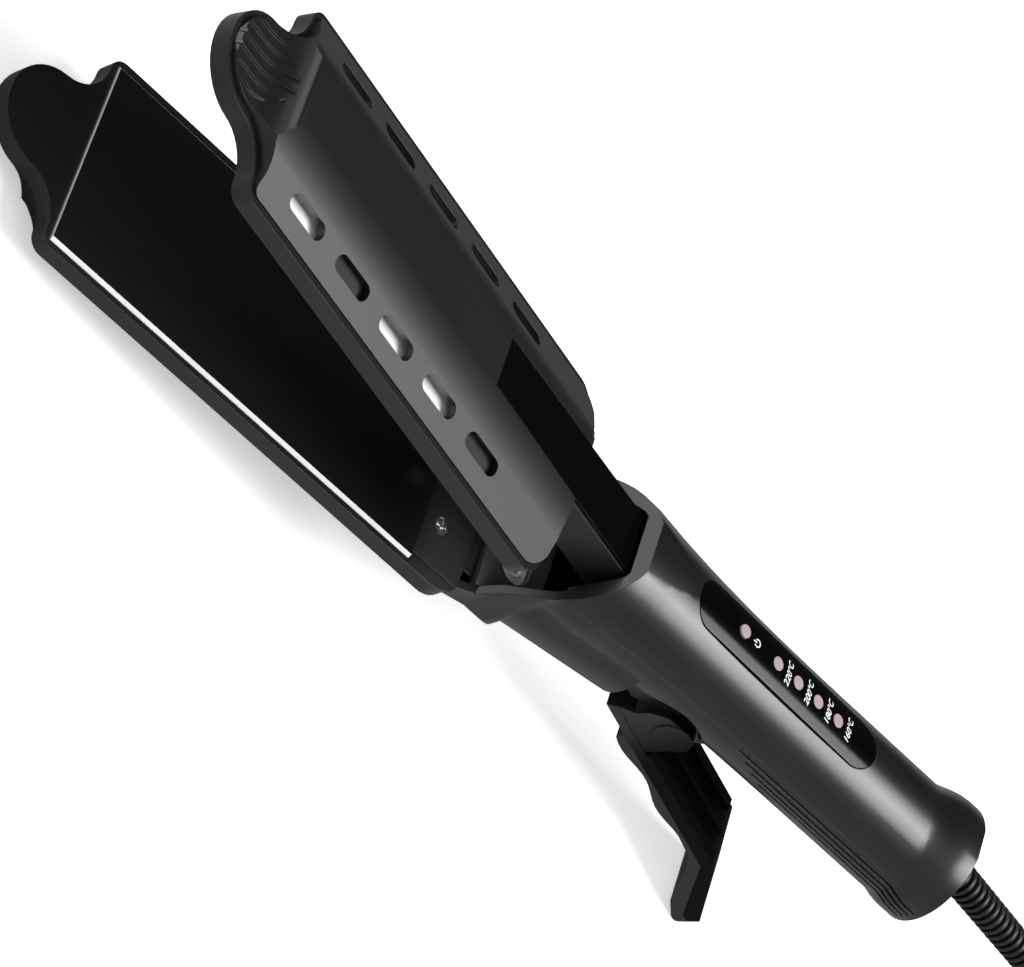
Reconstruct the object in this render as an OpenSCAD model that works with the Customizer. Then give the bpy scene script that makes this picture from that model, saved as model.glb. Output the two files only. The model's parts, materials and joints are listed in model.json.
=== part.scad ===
// Lever-type wide-plate hair straightener.
// Shapes are drawn in the iron's own axes: x runs from the tip of the plates to the mains lead, y runs
// from the near side to the far side, and z = 0 is the plane where the two closed plates meet.
// stand() then tips the whole iron so that it rests on its lower jaw and on the tip of its lever.

/* [Plates] */
// Length of each heating plate
plate_l = 110; // [90:1:130]
// Width of each heating plate
plate_w = 46.8; // [40:0.2:50]
// Thickness of each heating plate
plate_t = 3; // [2.5:0.1:4]
// Width of the polished bevel along a plate
plate_bevel = 0.7; // [0.3:0.1:1.2]
// Gap between the closed plates
plate_gap = 0.2; // [0.1:0.05:0.6]
// Gap all round a plate in its frame
plate_fit = 0.3; // [0.2:0.05:0.6]

/* [Jaws] */
// Wall of the jaw frame beside the plate
frame_wall = 1.3; // [1:0.1:2]
// Height of the jaw frame's rim wall
rim_h = 4.3; // [3.8:0.1:6]
// Distance of each rim from the plate plane
rim_gap = 0.6; // [0.4:0.1:1.2]
// Height of a jaw's back over the plate plane
jaw_h = 12; // [11:0.1:14]
// Half width of the flat back
back_half = 8.2; // [7.8:0.1:9.5]
// Half width where the flank meets the back's step
flank_top_half = 13.8; // [13:0.1:15]
// Height where the flank meets the back's step
flank_top_h = 9; // [8.6:0.1:9.6]
// How far the jaw cover stands in from the rim
cover_inset = 1.4; // [0.8:0.1:2]
// Wall of the jaw cover
cover_wall = 1.8; // [1.4:0.1:2.2]
// Distance from the plate's root end to the end of the lower jaw
jaw_tail = 14.5; // [14:0.5:16]
// Distance from the plate's root end to the end of the upper jaw
upper_tail = 12; // [11:0.5:13]
// Corner radius at the root end of a jaw
rear_r = 7; // [4:0.5:9]
// Corner radius at the jaw's shoulders
shoulder_r = 3.5; // [2:0.5:5]
// Radius of the hollow between shoulder and nose lobe
hollow_r = 9; // [6:0.5:11]
// Radius of the nose lobe
lobe_r = 12; // [10:0.5:13]
// Distance of the lobe's tip from the plate's end
nose_l = 22; // [20:0.5:26]
// Distance of the crease of the back from the plate's end
crease_l = 3; // [2:0.5:5]
// Rounding of the crease between the back and the thumb rest
crease_r = 1.5; // [1:0.1:2]
// Radius of the hollow of the thumb rest
thumb_r = 15; // [12:1:18]
// Height of the thumb rest's flat front
thumb_h = 6.1; // [5.8:0.1:7]
// Number of grip ridges on the nose
ridge_n = 6; // [4:1:7]
// Distance between grip ridges
ridge_pitch = 3.1; // [2.6:0.1:3.6]
// Width of a grip ridge
ridge_w = 0.9; // [0.6:0.1:1.4]
// Height of a grip ridge
ridge_h = 0.5; // [0.3:0.1:0.8]

/* [Vents] */
// Number of vent slots in each flank
slot_n = 5; // [3:1:5]
// Distance of the first slot's centre from the plate's end
slot_x = 14.3; // [12:0.1:18]
// Distance between slot centres
slot_pitch = 18.6; // [16:0.1:20]
// Length of a slot
slot_l = 12.5; // [10:0.5:14]
// Width of a slot
slot_w = 4; // [3:0.1:4.6]
// Distance of the slots from the middle line
slot_y = 17.6; // [17:0.1:18.4]

/* [Heaters] */
// Length of the ceramic heater
heater_l = 70; // [50:1:74]
// Width of the ceramic heater
heater_w = 18; // [12:1:20]
// Thickness of the ceramic heater
heater_t = 1.5; // [1:0.1:2]
// Sheet thickness of the aluminium heat shield
shield_t = 0.6; // [0.5:0.1:0.8]
// Depth of the step in the frame that the shield lies in
shield_step = 0.8; // [0.7:0.1:1]
// Radius of the screw threads in the jaws
jaw_screw_r = 1; // [0.8:0.1:1.2]
// Distance of the shield's screws from the ends of the plate
shield_screw_x = 13; // [8:0.5:16]
// Radius of the thermal fuse
fuse_r = 1.4; // [1:0.1:1.8]
// Length of the thermal fuse
fuse_l = 11; // [8:0.5:14]

/* [Handle] */
// Height of the handle's axis over the plate plane
axis_z = 12.3; // [11:0.1:14]
// Outer radius at the mouth
mouth_r = 17; // [16.6:0.1:17.6]
// Height of the flat top at the mouth
mouth_top = 28; // [27.7:0.1:28.6]
// Outer radius at the waist
waist_r = 13.8; // [13.4:0.1:14.6]
// Outer radius of the flared end
flare_r = 15.3; // [14.6:0.1:16]
// How far the flared end's axis lies over the handle's axis
flare_lift = 1; // [0:0.1:1.6]
// Wall of the handle shells
shell_wall = 2.2; // [1.8:0.1:2.6]
// Place of the mouth's upper edge
mouth_x = 149.5; // [147:0.5:152]
// Height of the mouth's upper edge
mouth_z = 28.5; // [27:0.5:30]
// Place where the mouth's sloping rim meets the plate plane
mouth_foot_x = 130.2; // [128:0.2:132]
// Height of the opening inside the mouth's lip
lip_top = 24.9; // [24.8:0.1:25.4]
// Half width of the opening's flat top
lip_half = 8.3; // [8.2:0.1:9]
// Length of the lip along the handle
lip_l = 4; // [3:0.5:6]
// Place of the waist
waist_x = 226; // [215:1:235]
// Place where the handle starts to flare
flare_x = 248; // [244:1:252]
// Place where the flare is full
flare_full_x = 260; // [257:1:262]
// Place of the lowest point of the handle's end
end_x = 265; // [264:0.5:272]
// Lean of the handle's end face
end_lean = 5; // [0:1:8]
// Height of the seam between the two shells
seam_z = 15; // [14.6:0.1:15.4]
// Number of grooves on each side of the lower shell
groove_n = 4; // [3:1:5]
// Height of the topmost groove
groove_top = 13.2; // [13:0.1:13.6]
// Distance between grooves
groove_pitch = 1.65; // [1.4:0.05:2]
// Width of a groove
groove_w = 0.7; // [0.4:0.1:0.9]
// Depth of a groove
groove_d = 0.6; // [0.3:0.1:0.9]

/* [Neck] */
// Half width of the neck where it meets the jaw
neck_half = 20.6; // [19.6:0.1:21.4]
// Half width of the neck at the mouth
neck_waist = 17.4; // [17.2:0.1:18]
// Half width of the neck's floor at its lower corner
neck_foot = 16; // [15.4:0.1:16.4]
// Depth of the neck under the plate plane
neck_h = 11.8; // [11:0.1:12]
// Place of the neck's rounded shoulder
neck_end_x = 143; // [141:0.5:146]
// Radius of the handle's belly where it meets the neck
belly_r1 = 17.4; // [17:0.1:17.8]
// Radius of the belly in front of the lever's arch
belly_r2 = 15.3; // [15:0.1:15.6]
// Height of the belly's axis at the neck
belly_z1 = 1.6; // [1:0.1:3]
// Height of the belly's axis at the arch
belly_z2 = 5.2; // [4.8:0.1:6]
// Depth of the belly's flat underside
belly_h = 12.2; // [12:0.1:13]
// Place where the belly ends at the lever's arch
belly_end_x = 172; // [170:0.5:172]
// Length of the root bridge's deck
bridge_l = 17.8; // [14:0.1:18]
// Thickness of the root bridge's deck
bridge_t = 3; // [2:0.1:4]
// Width of the wire slot in the deck
wire_slot_w = 8.4; // [6:0.2:9]
// Length of the wire slot across the deck
wire_slot_l = 19.4; // [14:0.2:22]

/* [Hinge and lever] */
// Place of the hinge along the iron
hinge_x = 196; // [194:0.5:198]
// Height of the hinge
hinge_z = -4.5; // [-5:0.1:-4]
// Opening angle of the jaws
open_deg = 13.5; // [10:0.5:14]
// Radius of the hinge pin
pin_r = 1.5; // [1.2:0.1:1.8]
// Running clearance of the hinge pin
pin_play = 0.05; // [0.03:0.01:0.08]
// Wall of a hinge bush
bush_t = 1; // [0.8:0.1:1.2]
// Outer radius of the lugs that carry the bushes
lug_r = 4.2; // [3.8:0.1:4.4]
// Distance of the lugs from the middle plane
lug_in = 3.7; // [3.5:0.1:3.8]
// Thickness of a hinge lug
lug_t = 2.5; // [2:0.1:2.6]
// Gap between moving and fixed parts at the hinge
hinge_gap = 0.4; // [0.3:0.05:0.6]
// Thickness of a lever cheek
cheek_t = 2.2; // [1.8:0.1:2.6]
// Radius of the boss on a lever cheek
boss_r = 4.7; // [4.4:0.1:5]
// Radius of the lever's arch in the lower shell
arch_r = 12.5; // [12:0.1:13]
// Width of the lever
lever_w = 18; // [17.6:0.2:20]
// Drop of the lever's upper face under the hinge
lever_drop = 8.5; // [8:0.1:9.5]
// Slope of the closed lever against the plates
lever_slope = 6.2; // [4:0.2:8]
// Length of the straight part of the lever behind the hinge
lever_l = 49; // [44:0.5:54]
// Length of the lever's bent tip along the lever
tip_l = 17.5; // [14:0.5:20]
// Drop of the lever's bent tip
tip_drop = 10.5; // [8:0.5:12]
// Thickness of the lever's core
core_t = 2.3; // [2:0.1:2.8]
// Radius of the rounded lever tip
tip_r = 3.4; // [3:0.1:3.6]
// Distance between the two bumps of the finger grip
bump_pitch = 22.3; // [18:0.1:24]
// Height of a bump over the valley beside it
bump_h = 1.6; // [1:0.1:2]
// Thickness of the finger grip in a valley
grip_t = 1.2; // [1:0.1:1.6]
// Wire radius of the return spring
spring_wire_r = 0.55; // [0.4:0.05:0.6]
// Turns of the return spring
spring_turns = 5; // [3:1:5]

/* [Arm] */
// Half width of the arm's top
arm_top_half = 7.6; // [7:0.1:7.8]
// Half width of the arm's bottom
arm_foot_half = 9; // [8:0.1:9.6]
// Height of the arm's underside over the plate plane
arm_foot_z = 1.8; // [1.4:0.1:2.4]
// Thickness of the glossy inlay
inlay_t = 0.8; // [0.6:0.1:1]
// Place of the inlay's front edge
inlay_x = 80.8; // [76:0.2:86]
// Half width of the inlay's front edge
inlay_half = 6.3; // [5.8:0.1:7]

/* [Panel] */
// Length of the control panel
panel_l = 62; // [60:0.5:64]
// Width of the control panel
panel_w = 11.5; // [11:0.1:12]
// Thickness of the control panel at its edge
panel_t = 2.2; // [2:0.1:2.4]
// Place of the panel's middle along the handle
panel_x = 196; // [194:0.5:197]
// Height of the panel's top
panel_z = 26.9; // [26.6:0.05:27]
// Slope of the panel along the handle
panel_slope = 1.5; // [1:0.1:2]
// Radius across the panel's top
panel_crown_r = 14.5; // [14:0.1:16]
// Radius of the indicator lenses
lens_r = 1.6; // [1.4:0.1:1.8]
// Distance between indicator lenses
lens_pitch = 7.15; // [6.6:0.05:7.4]
// Place of the first indicator lens from the panel's middle
lens_x = -4.1; // [-5:0.1:-4]
// Place of the power button from the panel's middle
button_x = -16; // [-17:0.1:-15]
// Radius of the power button
button_r = 1.55; // [1.4:0.05:1.7]
// Travel of the power button
button_travel = 0.6; // [0.3:0.05:0.6]
// How far the power button stands out of the panel
button_proud = 0.4; // [0.2:0.05:0.6]

/* [Mains lead] */
// Radius of the lead
cord_r = 2.8; // [2.5:0.05:3]
// Length of the strain relief outside the handle
relief_l = 69; // [60:1:74]
// Radius of the strain relief at the handle
relief_r = 4.1; // [3.9:0.1:4.4]
// Distance between the strain relief's ribs
rib_pitch = 2.2; // [2:0.1:2.6]
// Fall of the strain relief against the handle's axis
relief_fall = 8.8; // [6:0.2:10]
// Place where the strain relief leaves the handle
relief_x = 263.7; // [263.4:0.1:264.4]
// Height where the strain relief leaves the handle
relief_z = 16.2; // [15.8:0.1:16.6]
// Radius of the coil's innermost turn
coil_r = 23.9; // [23.4:0.1:24.4]
// Room between neighbouring turns of the coil
coil_room = 0.5; // [0.5:0.1:1]
// Turns in each layer of the coil
coil_turns = 2.15; // [1.9:0.25:2.4]
// Thickness of the tie's band
tie_t = 0.8; // [0.5:0.1:1]
// Width of the tie's band
tie_w = 5; // [3:0.5:7]
// Room between the tie and the coil
tie_room = 0.3; // [0.3:0.1:0.6]
// Length of the plug's body
plug_l = 35; // [30:1:40]
// Width of the plug's body
plug_w = 32; // [26:1:35]
// Thickness of the plug's body
plug_t = 13.6; // [12:0.2:16]
// Radius of a plug pin
plug_pin_r = 2; // [1.9:0.05:2.4]
// Length of a plug pin outside the plug
plug_pin_l = 19; // [17:1:20]
// Distance between the two plug pins
plug_pin_gap = 18.6; // [17.6:0.2:19]

/* [Hidden] */
$fn = 48;
eps = 0.01;

// Jaw outline and levels
jaw_half = plate_w / 2 + plate_fit + frame_wall;
jaw_rear = plate_l + jaw_tail;
upper_rear = plate_l + upper_tail;
face_z = plate_gap / 2;
plate_back = face_z + plate_t;
rim_top = rim_gap + rim_h;
heater_back = plate_back + heater_t;
lobe_at = [lobe_r - nose_l, 0];
shoulder_at = [1.5, jaw_half - shoulder_r];
lobe_reach = lobe_r + hollow_r;
shoulder_reach = shoulder_r + hollow_r;
gap_vec = shoulder_at - lobe_at;
gap_len = norm(gap_vec);
gap_along = (gap_len * gap_len + lobe_reach * lobe_reach - shoulder_reach * shoulder_reach) / (2 * gap_len);
gap_side = sqrt(lobe_reach * lobe_reach - gap_along * gap_along);
gap_dir = gap_vec / gap_len;
hollow_at = lobe_at + gap_along * gap_dir + gap_side * [-gap_dir[1], gap_dir[0]];
hollow_from = atan2(shoulder_at[1] - hollow_at[1], shoulder_at[0] - hollow_at[0]);
hollow_to = atan2(lobe_at[1] - hollow_at[1], lobe_at[0] - hollow_at[0]);
flank_foot_half = jaw_half - cover_inset;
flank_slope = atan2(flank_top_h - rim_top - 0.5, flank_foot_half - flank_top_half);
slot_z = flank_top_h - (slot_y - flank_top_half) * tan(flank_slope);
window_half = plate_w / 2 - 9.4;
shield_half = plate_w / 2 - 3.8;
slots_end = slot_x + (slot_n - 1) * slot_pitch + slot_l / 2;
shield_foot = rim_top - shield_step;
wire_r = 0.7;
holder_half = plate_w / 2 - 2.2;

// Mouth and handle
mouth_slope = atan2(mouth_z, mouth_x - mouth_foot_x);
end_top_x = end_x - (axis_z + waist_r) * tan(end_lean);
bridge_x = jaw_rear + 4;
bridge_end = bridge_x + bridge_l;
arch_at = [186, -2.5];
belly_x1 = 136;

// Hinge and lever
cheek_in = lug_in + lug_t + hinge_gap;
cheek_out = cheek_in + cheek_t;
lug_clear = lug_r + 3 * hinge_gap;
tip_at = [lever_l + tip_l, -lever_drop - tip_drop - tip_r + 0.4];
core_foot = -lever_drop - core_t;
valley_foot = core_foot - grip_t;
spring_r = 3.1;

// Hollow of the thumb rest, tangent to the rounded crease
crease_mid = [crease_r - crease_l, jaw_h - crease_r];
thumb_lift = crease_mid[1] - thumb_h - thumb_r;
thumb_mid = [crease_mid[0] - sqrt((thumb_r + crease_r) * (thumb_r + crease_r) - thumb_lift * thumb_lift), thumb_h + thumb_r];
thumb_turn = atan2(-thumb_lift, crease_mid[0] - thumb_mid[0]);

// Standing on the lower jaw's crease and on the lever's tip
crease_at = [crease_mid[0], -crease_mid[1]];
lever_turn = lever_slope + open_deg;
tip_open = [hinge_x + tip_at[0] * cos(lever_turn) + tip_at[1] * sin(lever_turn),
            hinge_z - tip_at[0] * sin(lever_turn) + tip_at[1] * cos(lever_turn)];
stand_vec = tip_open - crease_at;
stand_deg = asin((tip_r - crease_r) / norm(stand_vec)) - atan2(stand_vec[1], stand_vec[0]);
stand_z = crease_r - crease_at[0] * sin(stand_deg) - crease_at[1] * cos(stand_deg);
nose_open = [hinge_x - (hinge_x + nose_l) * cos(open_deg) + (rim_gap - hinge_z) * sin(open_deg),
             hinge_z + (hinge_x + nose_l) * sin(open_deg) + (rim_gap - hinge_z) * cos(open_deg)];
row_min_x = nose_open[0] * cos(stand_deg) - nose_open[1] * sin(stand_deg);
relief_end = [relief_x + relief_l * cos(relief_fall), relief_z - relief_l * sin(relief_fall)];
row_max_x = relief_end[0] * cos(stand_deg) - relief_end[1] * sin(stand_deg);
stand_x = -(row_min_x + row_max_x) / 2;

// Points on an arc from angle a0 to angle a1
function arc(c, r, a0, a1, n) = [for (i = [0:n]) c + r * [cos(a0 + (a1 - a0) * i / n), sin(a0 + (a1 - a0) * i / n)]];
// A half outline with y above zero and its mirror image
function both_sides(half) = concat(half, [for (i = [len(half) - 1:-1:0]) [half[i][0], -half[i][1]]]);
// A half section with y in the first place and its mirror image
function both_halves(half) = concat(half, [for (i = [len(half) - 1:-1:0]) [-half[i][0], half[i][1]]]);
// Plan of a jaw, drawn in by a given inset
function jaw_plan(inset, rear) = both_sides(concat(
  arc([rear - rear_r, jaw_half - rear_r], rear_r - inset, 0, 90, 8),
  arc(shoulder_at, shoulder_r - inset, 90, hollow_from + 180, 6),
  arc(hollow_at, hollow_r + inset, hollow_from, hollow_to, 10),
  arc(lobe_at, lobe_r - inset, hollow_to + 180, 180, 10)));
// Outer radius of the handle between the mouth and the waist
function grip_r(x) = let (t = max(0, min(1, (x - mouth_x) / (waist_x - mouth_x)))) waist_r + (mouth_r - waist_r) * (1 - t) * (1 - t) * (1 - t);
// Radius of the flared end
function bell_r(x) = let (t = min(1, (x - flare_x) / (flare_full_x - flare_x))) waist_r - 1 + (flare_r - waist_r + 1) * t * t * (3 - 2 * t);
// Where a point of the iron's own axes stands in the row
function stood(p) = [p[0] * cos(stand_deg) - p[2] * sin(stand_deg) + stand_x, p[1],
                     p[0] * sin(stand_deg) + p[2] * cos(stand_deg) + stand_z];

// Tips the iron onto its resting points
module stand() {
  translate([stand_x, 0, stand_z]) rotate([0, -stand_deg, 0]) children();
}
// Swings the upper jaw open
module swing() {
  translate([hinge_x, 0, hinge_z]) rotate([0, open_deg, 0]) translate([-hinge_x, 0, -hinge_z]) children();
}
// Turns a jaw part over for the lower jaw
module lower() {
  mirror([0, 0, 1]) children();
}
// Lever axes: origin on the hinge, x along the closed lever
module lever_axes() {
  translate([hinge_x, 0, hinge_z]) rotate([0, lever_slope, 0]) children();
}
// Panel axes: origin on the middle of the panel's top
module panel_axes() {
  translate([panel_x, 0, panel_z]) rotate([0, panel_slope, 0]) children();
}
// Section with y and z, extruded along x
module along_x(points, x0, x1) {
  translate([x0, 0, 0]) rotate([90, 0, 90]) linear_extrude(x1 - x0) polygon(points);
}
// Side view with x and z, extruded along y
module across_y(points, width) {
  rotate([90, 0, 0]) linear_extrude(width, center = true) polygon(points);
}
// Plan with x and y, extruded from z0 to z1
module upright(points, z0, z1) {
  translate([0, 0, z0]) linear_extrude(z1 - z0) polygon(points);
}
// Cylinder across the iron
module cross_pin(x, z, r, y0, y1) {
  translate([x, y1, z]) rotate([90, 0, 0]) cylinder(r = r, h = y1 - y0);
}
// Box between two corners
module block(a, b) {
  translate(a) cube(b - a);
}
// Stadium centred on the origin, long along x
module stadium(l, w, h) {
  linear_extrude(h, center = true) {
    square([l - w, w], center = true);
    for (s = [-1, 1]) translate([s * (l - w) / 2, 0]) circle(d = w);
  }
}

// Jaw parts, drawn for the upper jaw when it is closed

// Rim wall, nose and ledge that hold the plate
module jaw_frame(rear) {
  pocket_half = plate_w / 2 + plate_fit;
  difference() {
    upright(jaw_plan(0, rear), rim_gap, rim_top);
    block([-plate_fit, -pocket_half, 0], [plate_l + plate_fit, pocket_half, plate_back]);
    block([shield_screw_x - 8, -window_half, 0], [plate_l - shield_screw_x + 8, window_half, rim_top + 1]);
    block([plate_l + plate_fit - eps, -holder_half - plate_fit, 0], [rear + 1, holder_half + plate_fit, rim_top - 0.9]);
    block([6, -shield_half - 0.3, shield_foot], [max(plate_l - 6, slots_end + 1.5), shield_half + 0.3, rim_top + 1]);
    block([plate_l - 10, -5, plate_back], [rear + 1, 5, rim_top + 1]);
    block([plate_l + 1.5, -5, 0], [rear + 1, 5, rim_top + 1]);
    for (s = [-1, 1]) translate([holder_screw_x, s * holder_screw_y, 0]) cylinder(r = jaw_screw_r, h = rim_top + 1);
  }
}
holder_screw_x = plate_l + 5.6;
holder_screw_y = 10.9;

// Section of the jaw cover, drawn in by a given wall
function cover_section(wall) = both_halves(concat(
  [[flank_foot_half - wall * 1.15, rim_top - (wall > 0 ? 1 : 0)]],
  [[flank_foot_half - wall * 1.15, rim_top + 0.5 - wall * 0.6]],
  [[flank_top_half - wall * 0.6, flank_top_h - wall]],
  [[flank_top_half - 1.5 - wall * 0.9, flank_top_h + 1.1 - wall * 0.8]],
  arc([back_half + wall * 0.1, jaw_h - 2.4], 2.4 - wall, 35, 90, 4)));

// Side view of the cover: hollow nose at the front, sloping end at the root
function cover_side(lift, rear) = concat(
  [[rear - 1, rim_top], [rear - 2, flank_top_h - 0.5], [rear - 5, jaw_h]],
  arc(crease_mid, crease_r + lift, 90, 180 - thumb_turn, 5),
  arc(thumb_mid, thumb_r - lift, -thumb_turn, -90, 8),
  [[-nose_l + 2.2, thumb_h + lift], [-nose_l + 1.2, rim_top]]);

// Sloping outer shell with vent slots and thumb rest
module jaw_cover(rear) {
  difference() {
    intersection() {
      upright(jaw_plan(cover_inset, rear), rim_top, jaw_h + 1);
      across_y(cover_side(0, rear), 2 * jaw_half);
      union() {
        along_x(cover_section(0), -crease_l - 4, rear);
        block([-nose_l, -jaw_half, rim_top], [-crease_l - 4 + eps, jaw_half, jaw_h]);
      }
    }
    intersection() {
      along_x(cover_section(cover_wall), 2, rear - 4);
      upright(jaw_plan(cover_inset + cover_wall, rear), 0, jaw_h);
    }
    for (s = [-1, 1], i = [0:slot_n - 1]) {
      translate([slot_x + i * slot_pitch, s * slot_y, slot_z])
        rotate([-s * flank_slope, 0, 0]) stadium(slot_l, slot_w, 3.2 * cover_wall);
    }
  }
  intersection() {
    for (i = [0:ridge_n - 1]) {
      y = (i - (ridge_n - 1) / 2) * ridge_pitch;
      block([-nose_l, y - ridge_w / 2, rim_top + 0.3], [-crease_l - 1, y + ridge_w / 2, jaw_h]);
    }
    across_y(cover_side(ridge_h, rear), 2 * jaw_half);
    translate([thumb_mid[0] + 1.5, 0, 0]) cylinder(r = 8.2, h = jaw_h);
  }
}

// Ceramic-coated plate with bevelled edges, heater guides and screw studs
module heating_plate() {
  guide_y = heater_w / 2 + 0.2;
  difference() {
    union() {
      along_x(both_halves([
        [plate_w / 2, plate_back], [plate_w / 2, face_z + plate_bevel], [plate_w / 2 - plate_bevel, face_z]]), 0, plate_l);
      for (s = [-1, 1]) {
        block([20, min(s * guide_y, s * (guide_y + 1.2)), plate_back - eps],
              [plate_l - 20, max(s * guide_y, s * (guide_y + 1.2)), heater_back - 0.3]);
      }
      for (x = [shield_screw_x, plate_l - shield_screw_x]) {
        translate([x, 0, plate_back - eps]) cylinder(r = 2.6, h = heater_t + eps);
      }
    }
    for (x = [shield_screw_x, plate_l - shield_screw_x]) {
      translate([x, 0, plate_back - 1]) cylinder(r = jaw_screw_r, h = 5);
    }
  }
}

// Black block that closes the jaw behind the plate
module end_holder(rear, tail) {
  difference() {
    union() {
      block([plate_l + plate_fit, -holder_half, rim_gap + 0.1], [rear, holder_half, rim_top - 0.9]);
      if (tail > 0) block([rear - eps, -neck_waist + 2.6, rim_gap + 1.4], [rear + tail, neck_waist - 2.6, rim_top - 0.9]);
    }
    for (s = [-1, 1]) {
      translate([holder_screw_x, s * holder_screw_y, 0]) cylinder(r = jaw_screw_r, h = rim_top);
      translate([holder_screw_x, s * holder_screw_y, 0]) cylinder(r = 2.1, h = rim_gap + 1.5);
    }
    block([plate_l + 0.2, -5, plate_back], [rear + tail + 1, 5, rim_top]);
    block([plate_l + 3, -5, rim_top - 2.4], [rear + tail + 1, 5, rim_top]);
  }
}

// Flat ceramic heater with its terminal end
module heater() {
  x0 = (plate_l - heater_l) / 2;
  block([x0, -heater_w / 2, plate_back], [x0 + heater_l, heater_w / 2, heater_back]);
}

// Aluminium tray that presses the heater and keeps its heat from the cover
module heat_shield() {
  difference() {
    along_x(both_halves([[0, heater_back], [window_half - 1.5, heater_back],
      [window_half - 0.7, shield_foot], [shield_half, shield_foot], [shield_half, shield_foot + shield_t],
      [window_half - 0.4, shield_foot + shield_t], [window_half - 1.2, heater_back + shield_t], [0, heater_back + shield_t]]),
      7, plate_l - 7);
    for (x = [shield_screw_x, plate_l - shield_screw_x]) translate([x, 0, 0]) cylinder(r = jaw_screw_r, h = jaw_h);
  }
}

// Screws of one jaw: two through the end holder and two through the heat shield
module jaw_screws() {
  for (s = [-1, 1]) translate([holder_screw_x, s * holder_screw_y, 0]) {
    translate([0, 0, rim_gap + 1.5]) mirror([0, 0, 1]) screw_head(2.1, 1.1);
    translate([0, 0, rim_gap + 1.5]) cylinder(r = jaw_screw_r, h = rim_h + 0.9);
  }
  for (x = [shield_screw_x, plate_l - shield_screw_x]) translate([x, 0, 0]) {
    translate([0, 0, heater_back + shield_t]) screw_head(2, 1.2);
    translate([0, 0, plate_back - 1]) cylinder(r = jaw_screw_r, h = 1 + heater_t + shield_t);
  }
}
// Screw head with a cross recess
module screw_head(r, h) {
  difference() {
    cylinder(r = r, h = h);
    translate([0, 0, h]) cube([r * 1.3, 0.5, h], center = true);
    translate([0, 0, h]) cube([0.5, r * 1.3, h], center = true);
  }
}

// Thermal fuse on the heat shield
module thermal_fuse() {
  translate([plate_l / 2 - fuse_l / 2, 4, heater_back + shield_t + fuse_r]) rotate([0, 90, 0]) cylinder(r = fuse_r, h = fuse_l);
}

// Silicone pads behind the second and the fifth slot, wedged under the flank
module slot_pads() {
  foot = shield_foot + shield_t;
  in_y = window_half + 0.6;
  out_y = shield_half - 0.4;
  for (s = [0, 1], i = [1, slot_n - 1]) mirror([0, s, 0])
    along_x([[in_y, foot], [out_y, foot], [out_y, flank_under(out_y)], [in_y, flank_under(in_y)]],
      slot_x + i * slot_pitch - slot_l / 2 - 1, slot_x + i * slot_pitch + slot_l / 2 + 1);
}
// Height of the flank's inner face, less a little room
function flank_under(y) = let (a = cover_section(cover_wall)[1], b = cover_section(cover_wall)[2])
  a[1] + (b[1] - a[1]) * (a[0] - y) / (a[0] - b[0]) - 0.12;

// Fixed handle

// Solid outline of the round handle, drawn in by a wall, with a flat top towards the mouth
module handle_body(wall) {
  intersection() {
    round_body(wall);
    across_y([[100, -40], [300, -40], [300, mouth_top + 1 - wall], [200, mouth_top - 1.2 - wall], [mouth_x, mouth_top - wall], [100, mouth_top + 1 - wall]], 100);
  }
}
module round_body(wall) {
  translate([0, 0, axis_z]) rotate([0, 90, 0]) rotate_extrude()
    polygon(concat([[0, mouth_foot_x - 2]], [[grip_r(mouth_foot_x - 2) - wall, mouth_foot_x - 2]],
      [for (i = [0:12]) let (x = mouth_x - 8 + i * (flare_x - mouth_x + 8) / 12) [grip_r(x) - wall, x]],
      [[waist_r - wall, flare_full_x - 4], [0, flare_full_x - 4]]));
  translate([0, 0, axis_z + flare_lift]) rotate([0, 90, 0]) rotate_extrude()
    polygon(concat([[0, flare_x]],
      [for (i = [0:6]) let (x = flare_x + i * (flare_full_x - flare_x) / 6) [bell_r(x) - wall, x]],
      [[flare_r - wall, end_x + 6], [0, end_x + 6]]));
}
// Belly under the handle between the neck and the lever's arch
module belly(wall) {
  run = belly_end_x - belly_x1;
  intersection() {
    translate([belly_x1, 0, belly_z1]) rotate([0, 90 - atan2(belly_z2 - belly_z1, run), 0])
      cylinder(r1 = belly_r1 - wall, r2 = belly_r2 - wall, h = run - wall);
    across_y([[100, wall - belly_h], [148, wall - belly_h], [180, wall - belly_h + 4], [180, 60], [100, 60]], 100);
  }
}
// Neck that joins the jaw to the handle
module neck(wall, ahead = 0) {
  half = both_halves([[0, wall - neck_h], [back_half, wall - neck_h], [neck_foot - wall * 0.4, -flank_top_h + 0.6 + wall],
    [neck_half - wall, -rim_top - 0.4 + wall * 0.4], [neck_half - wall, seam_z + 4], [0, seam_z + 4]]);
  plan = both_sides(concat(ahead > 0 ? [[jaw_rear + 0.1 - ahead, neck_half - wall]] : [], [[jaw_rear + 0.1, neck_half - wall], [mouth_foot_x + 2.4, neck_waist - wall]],
    arc([neck_end_x - 5, neck_waist - 5 - wall], 5, 90, 0, 5)));
  intersection() {
    along_x(half, jaw_rear - ahead, neck_end_x);
    upright(plan, -jaw_h, seam_z + 4);
  }
}
// Place of the leaning end face at a height
function end_face_x(z) = end_x - (z - axis_z + waist_r) * tan(end_lean);
// Everything behind the sloping mouth and in front of the leaning end face
module behind_mouth(gap) {
  across_y([[jaw_rear + 0.1, -60], [jaw_rear + 0.1, -0.9], [mouth_foot_x + gap - 0.6, -0.9],
    [mouth_x + gap, mouth_z], [mouth_x + gap + (80 - mouth_z) / tan(mouth_slope), 80],
    [end_face_x(80), 80], [end_face_x(-60), -60]], 100);
}
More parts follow.
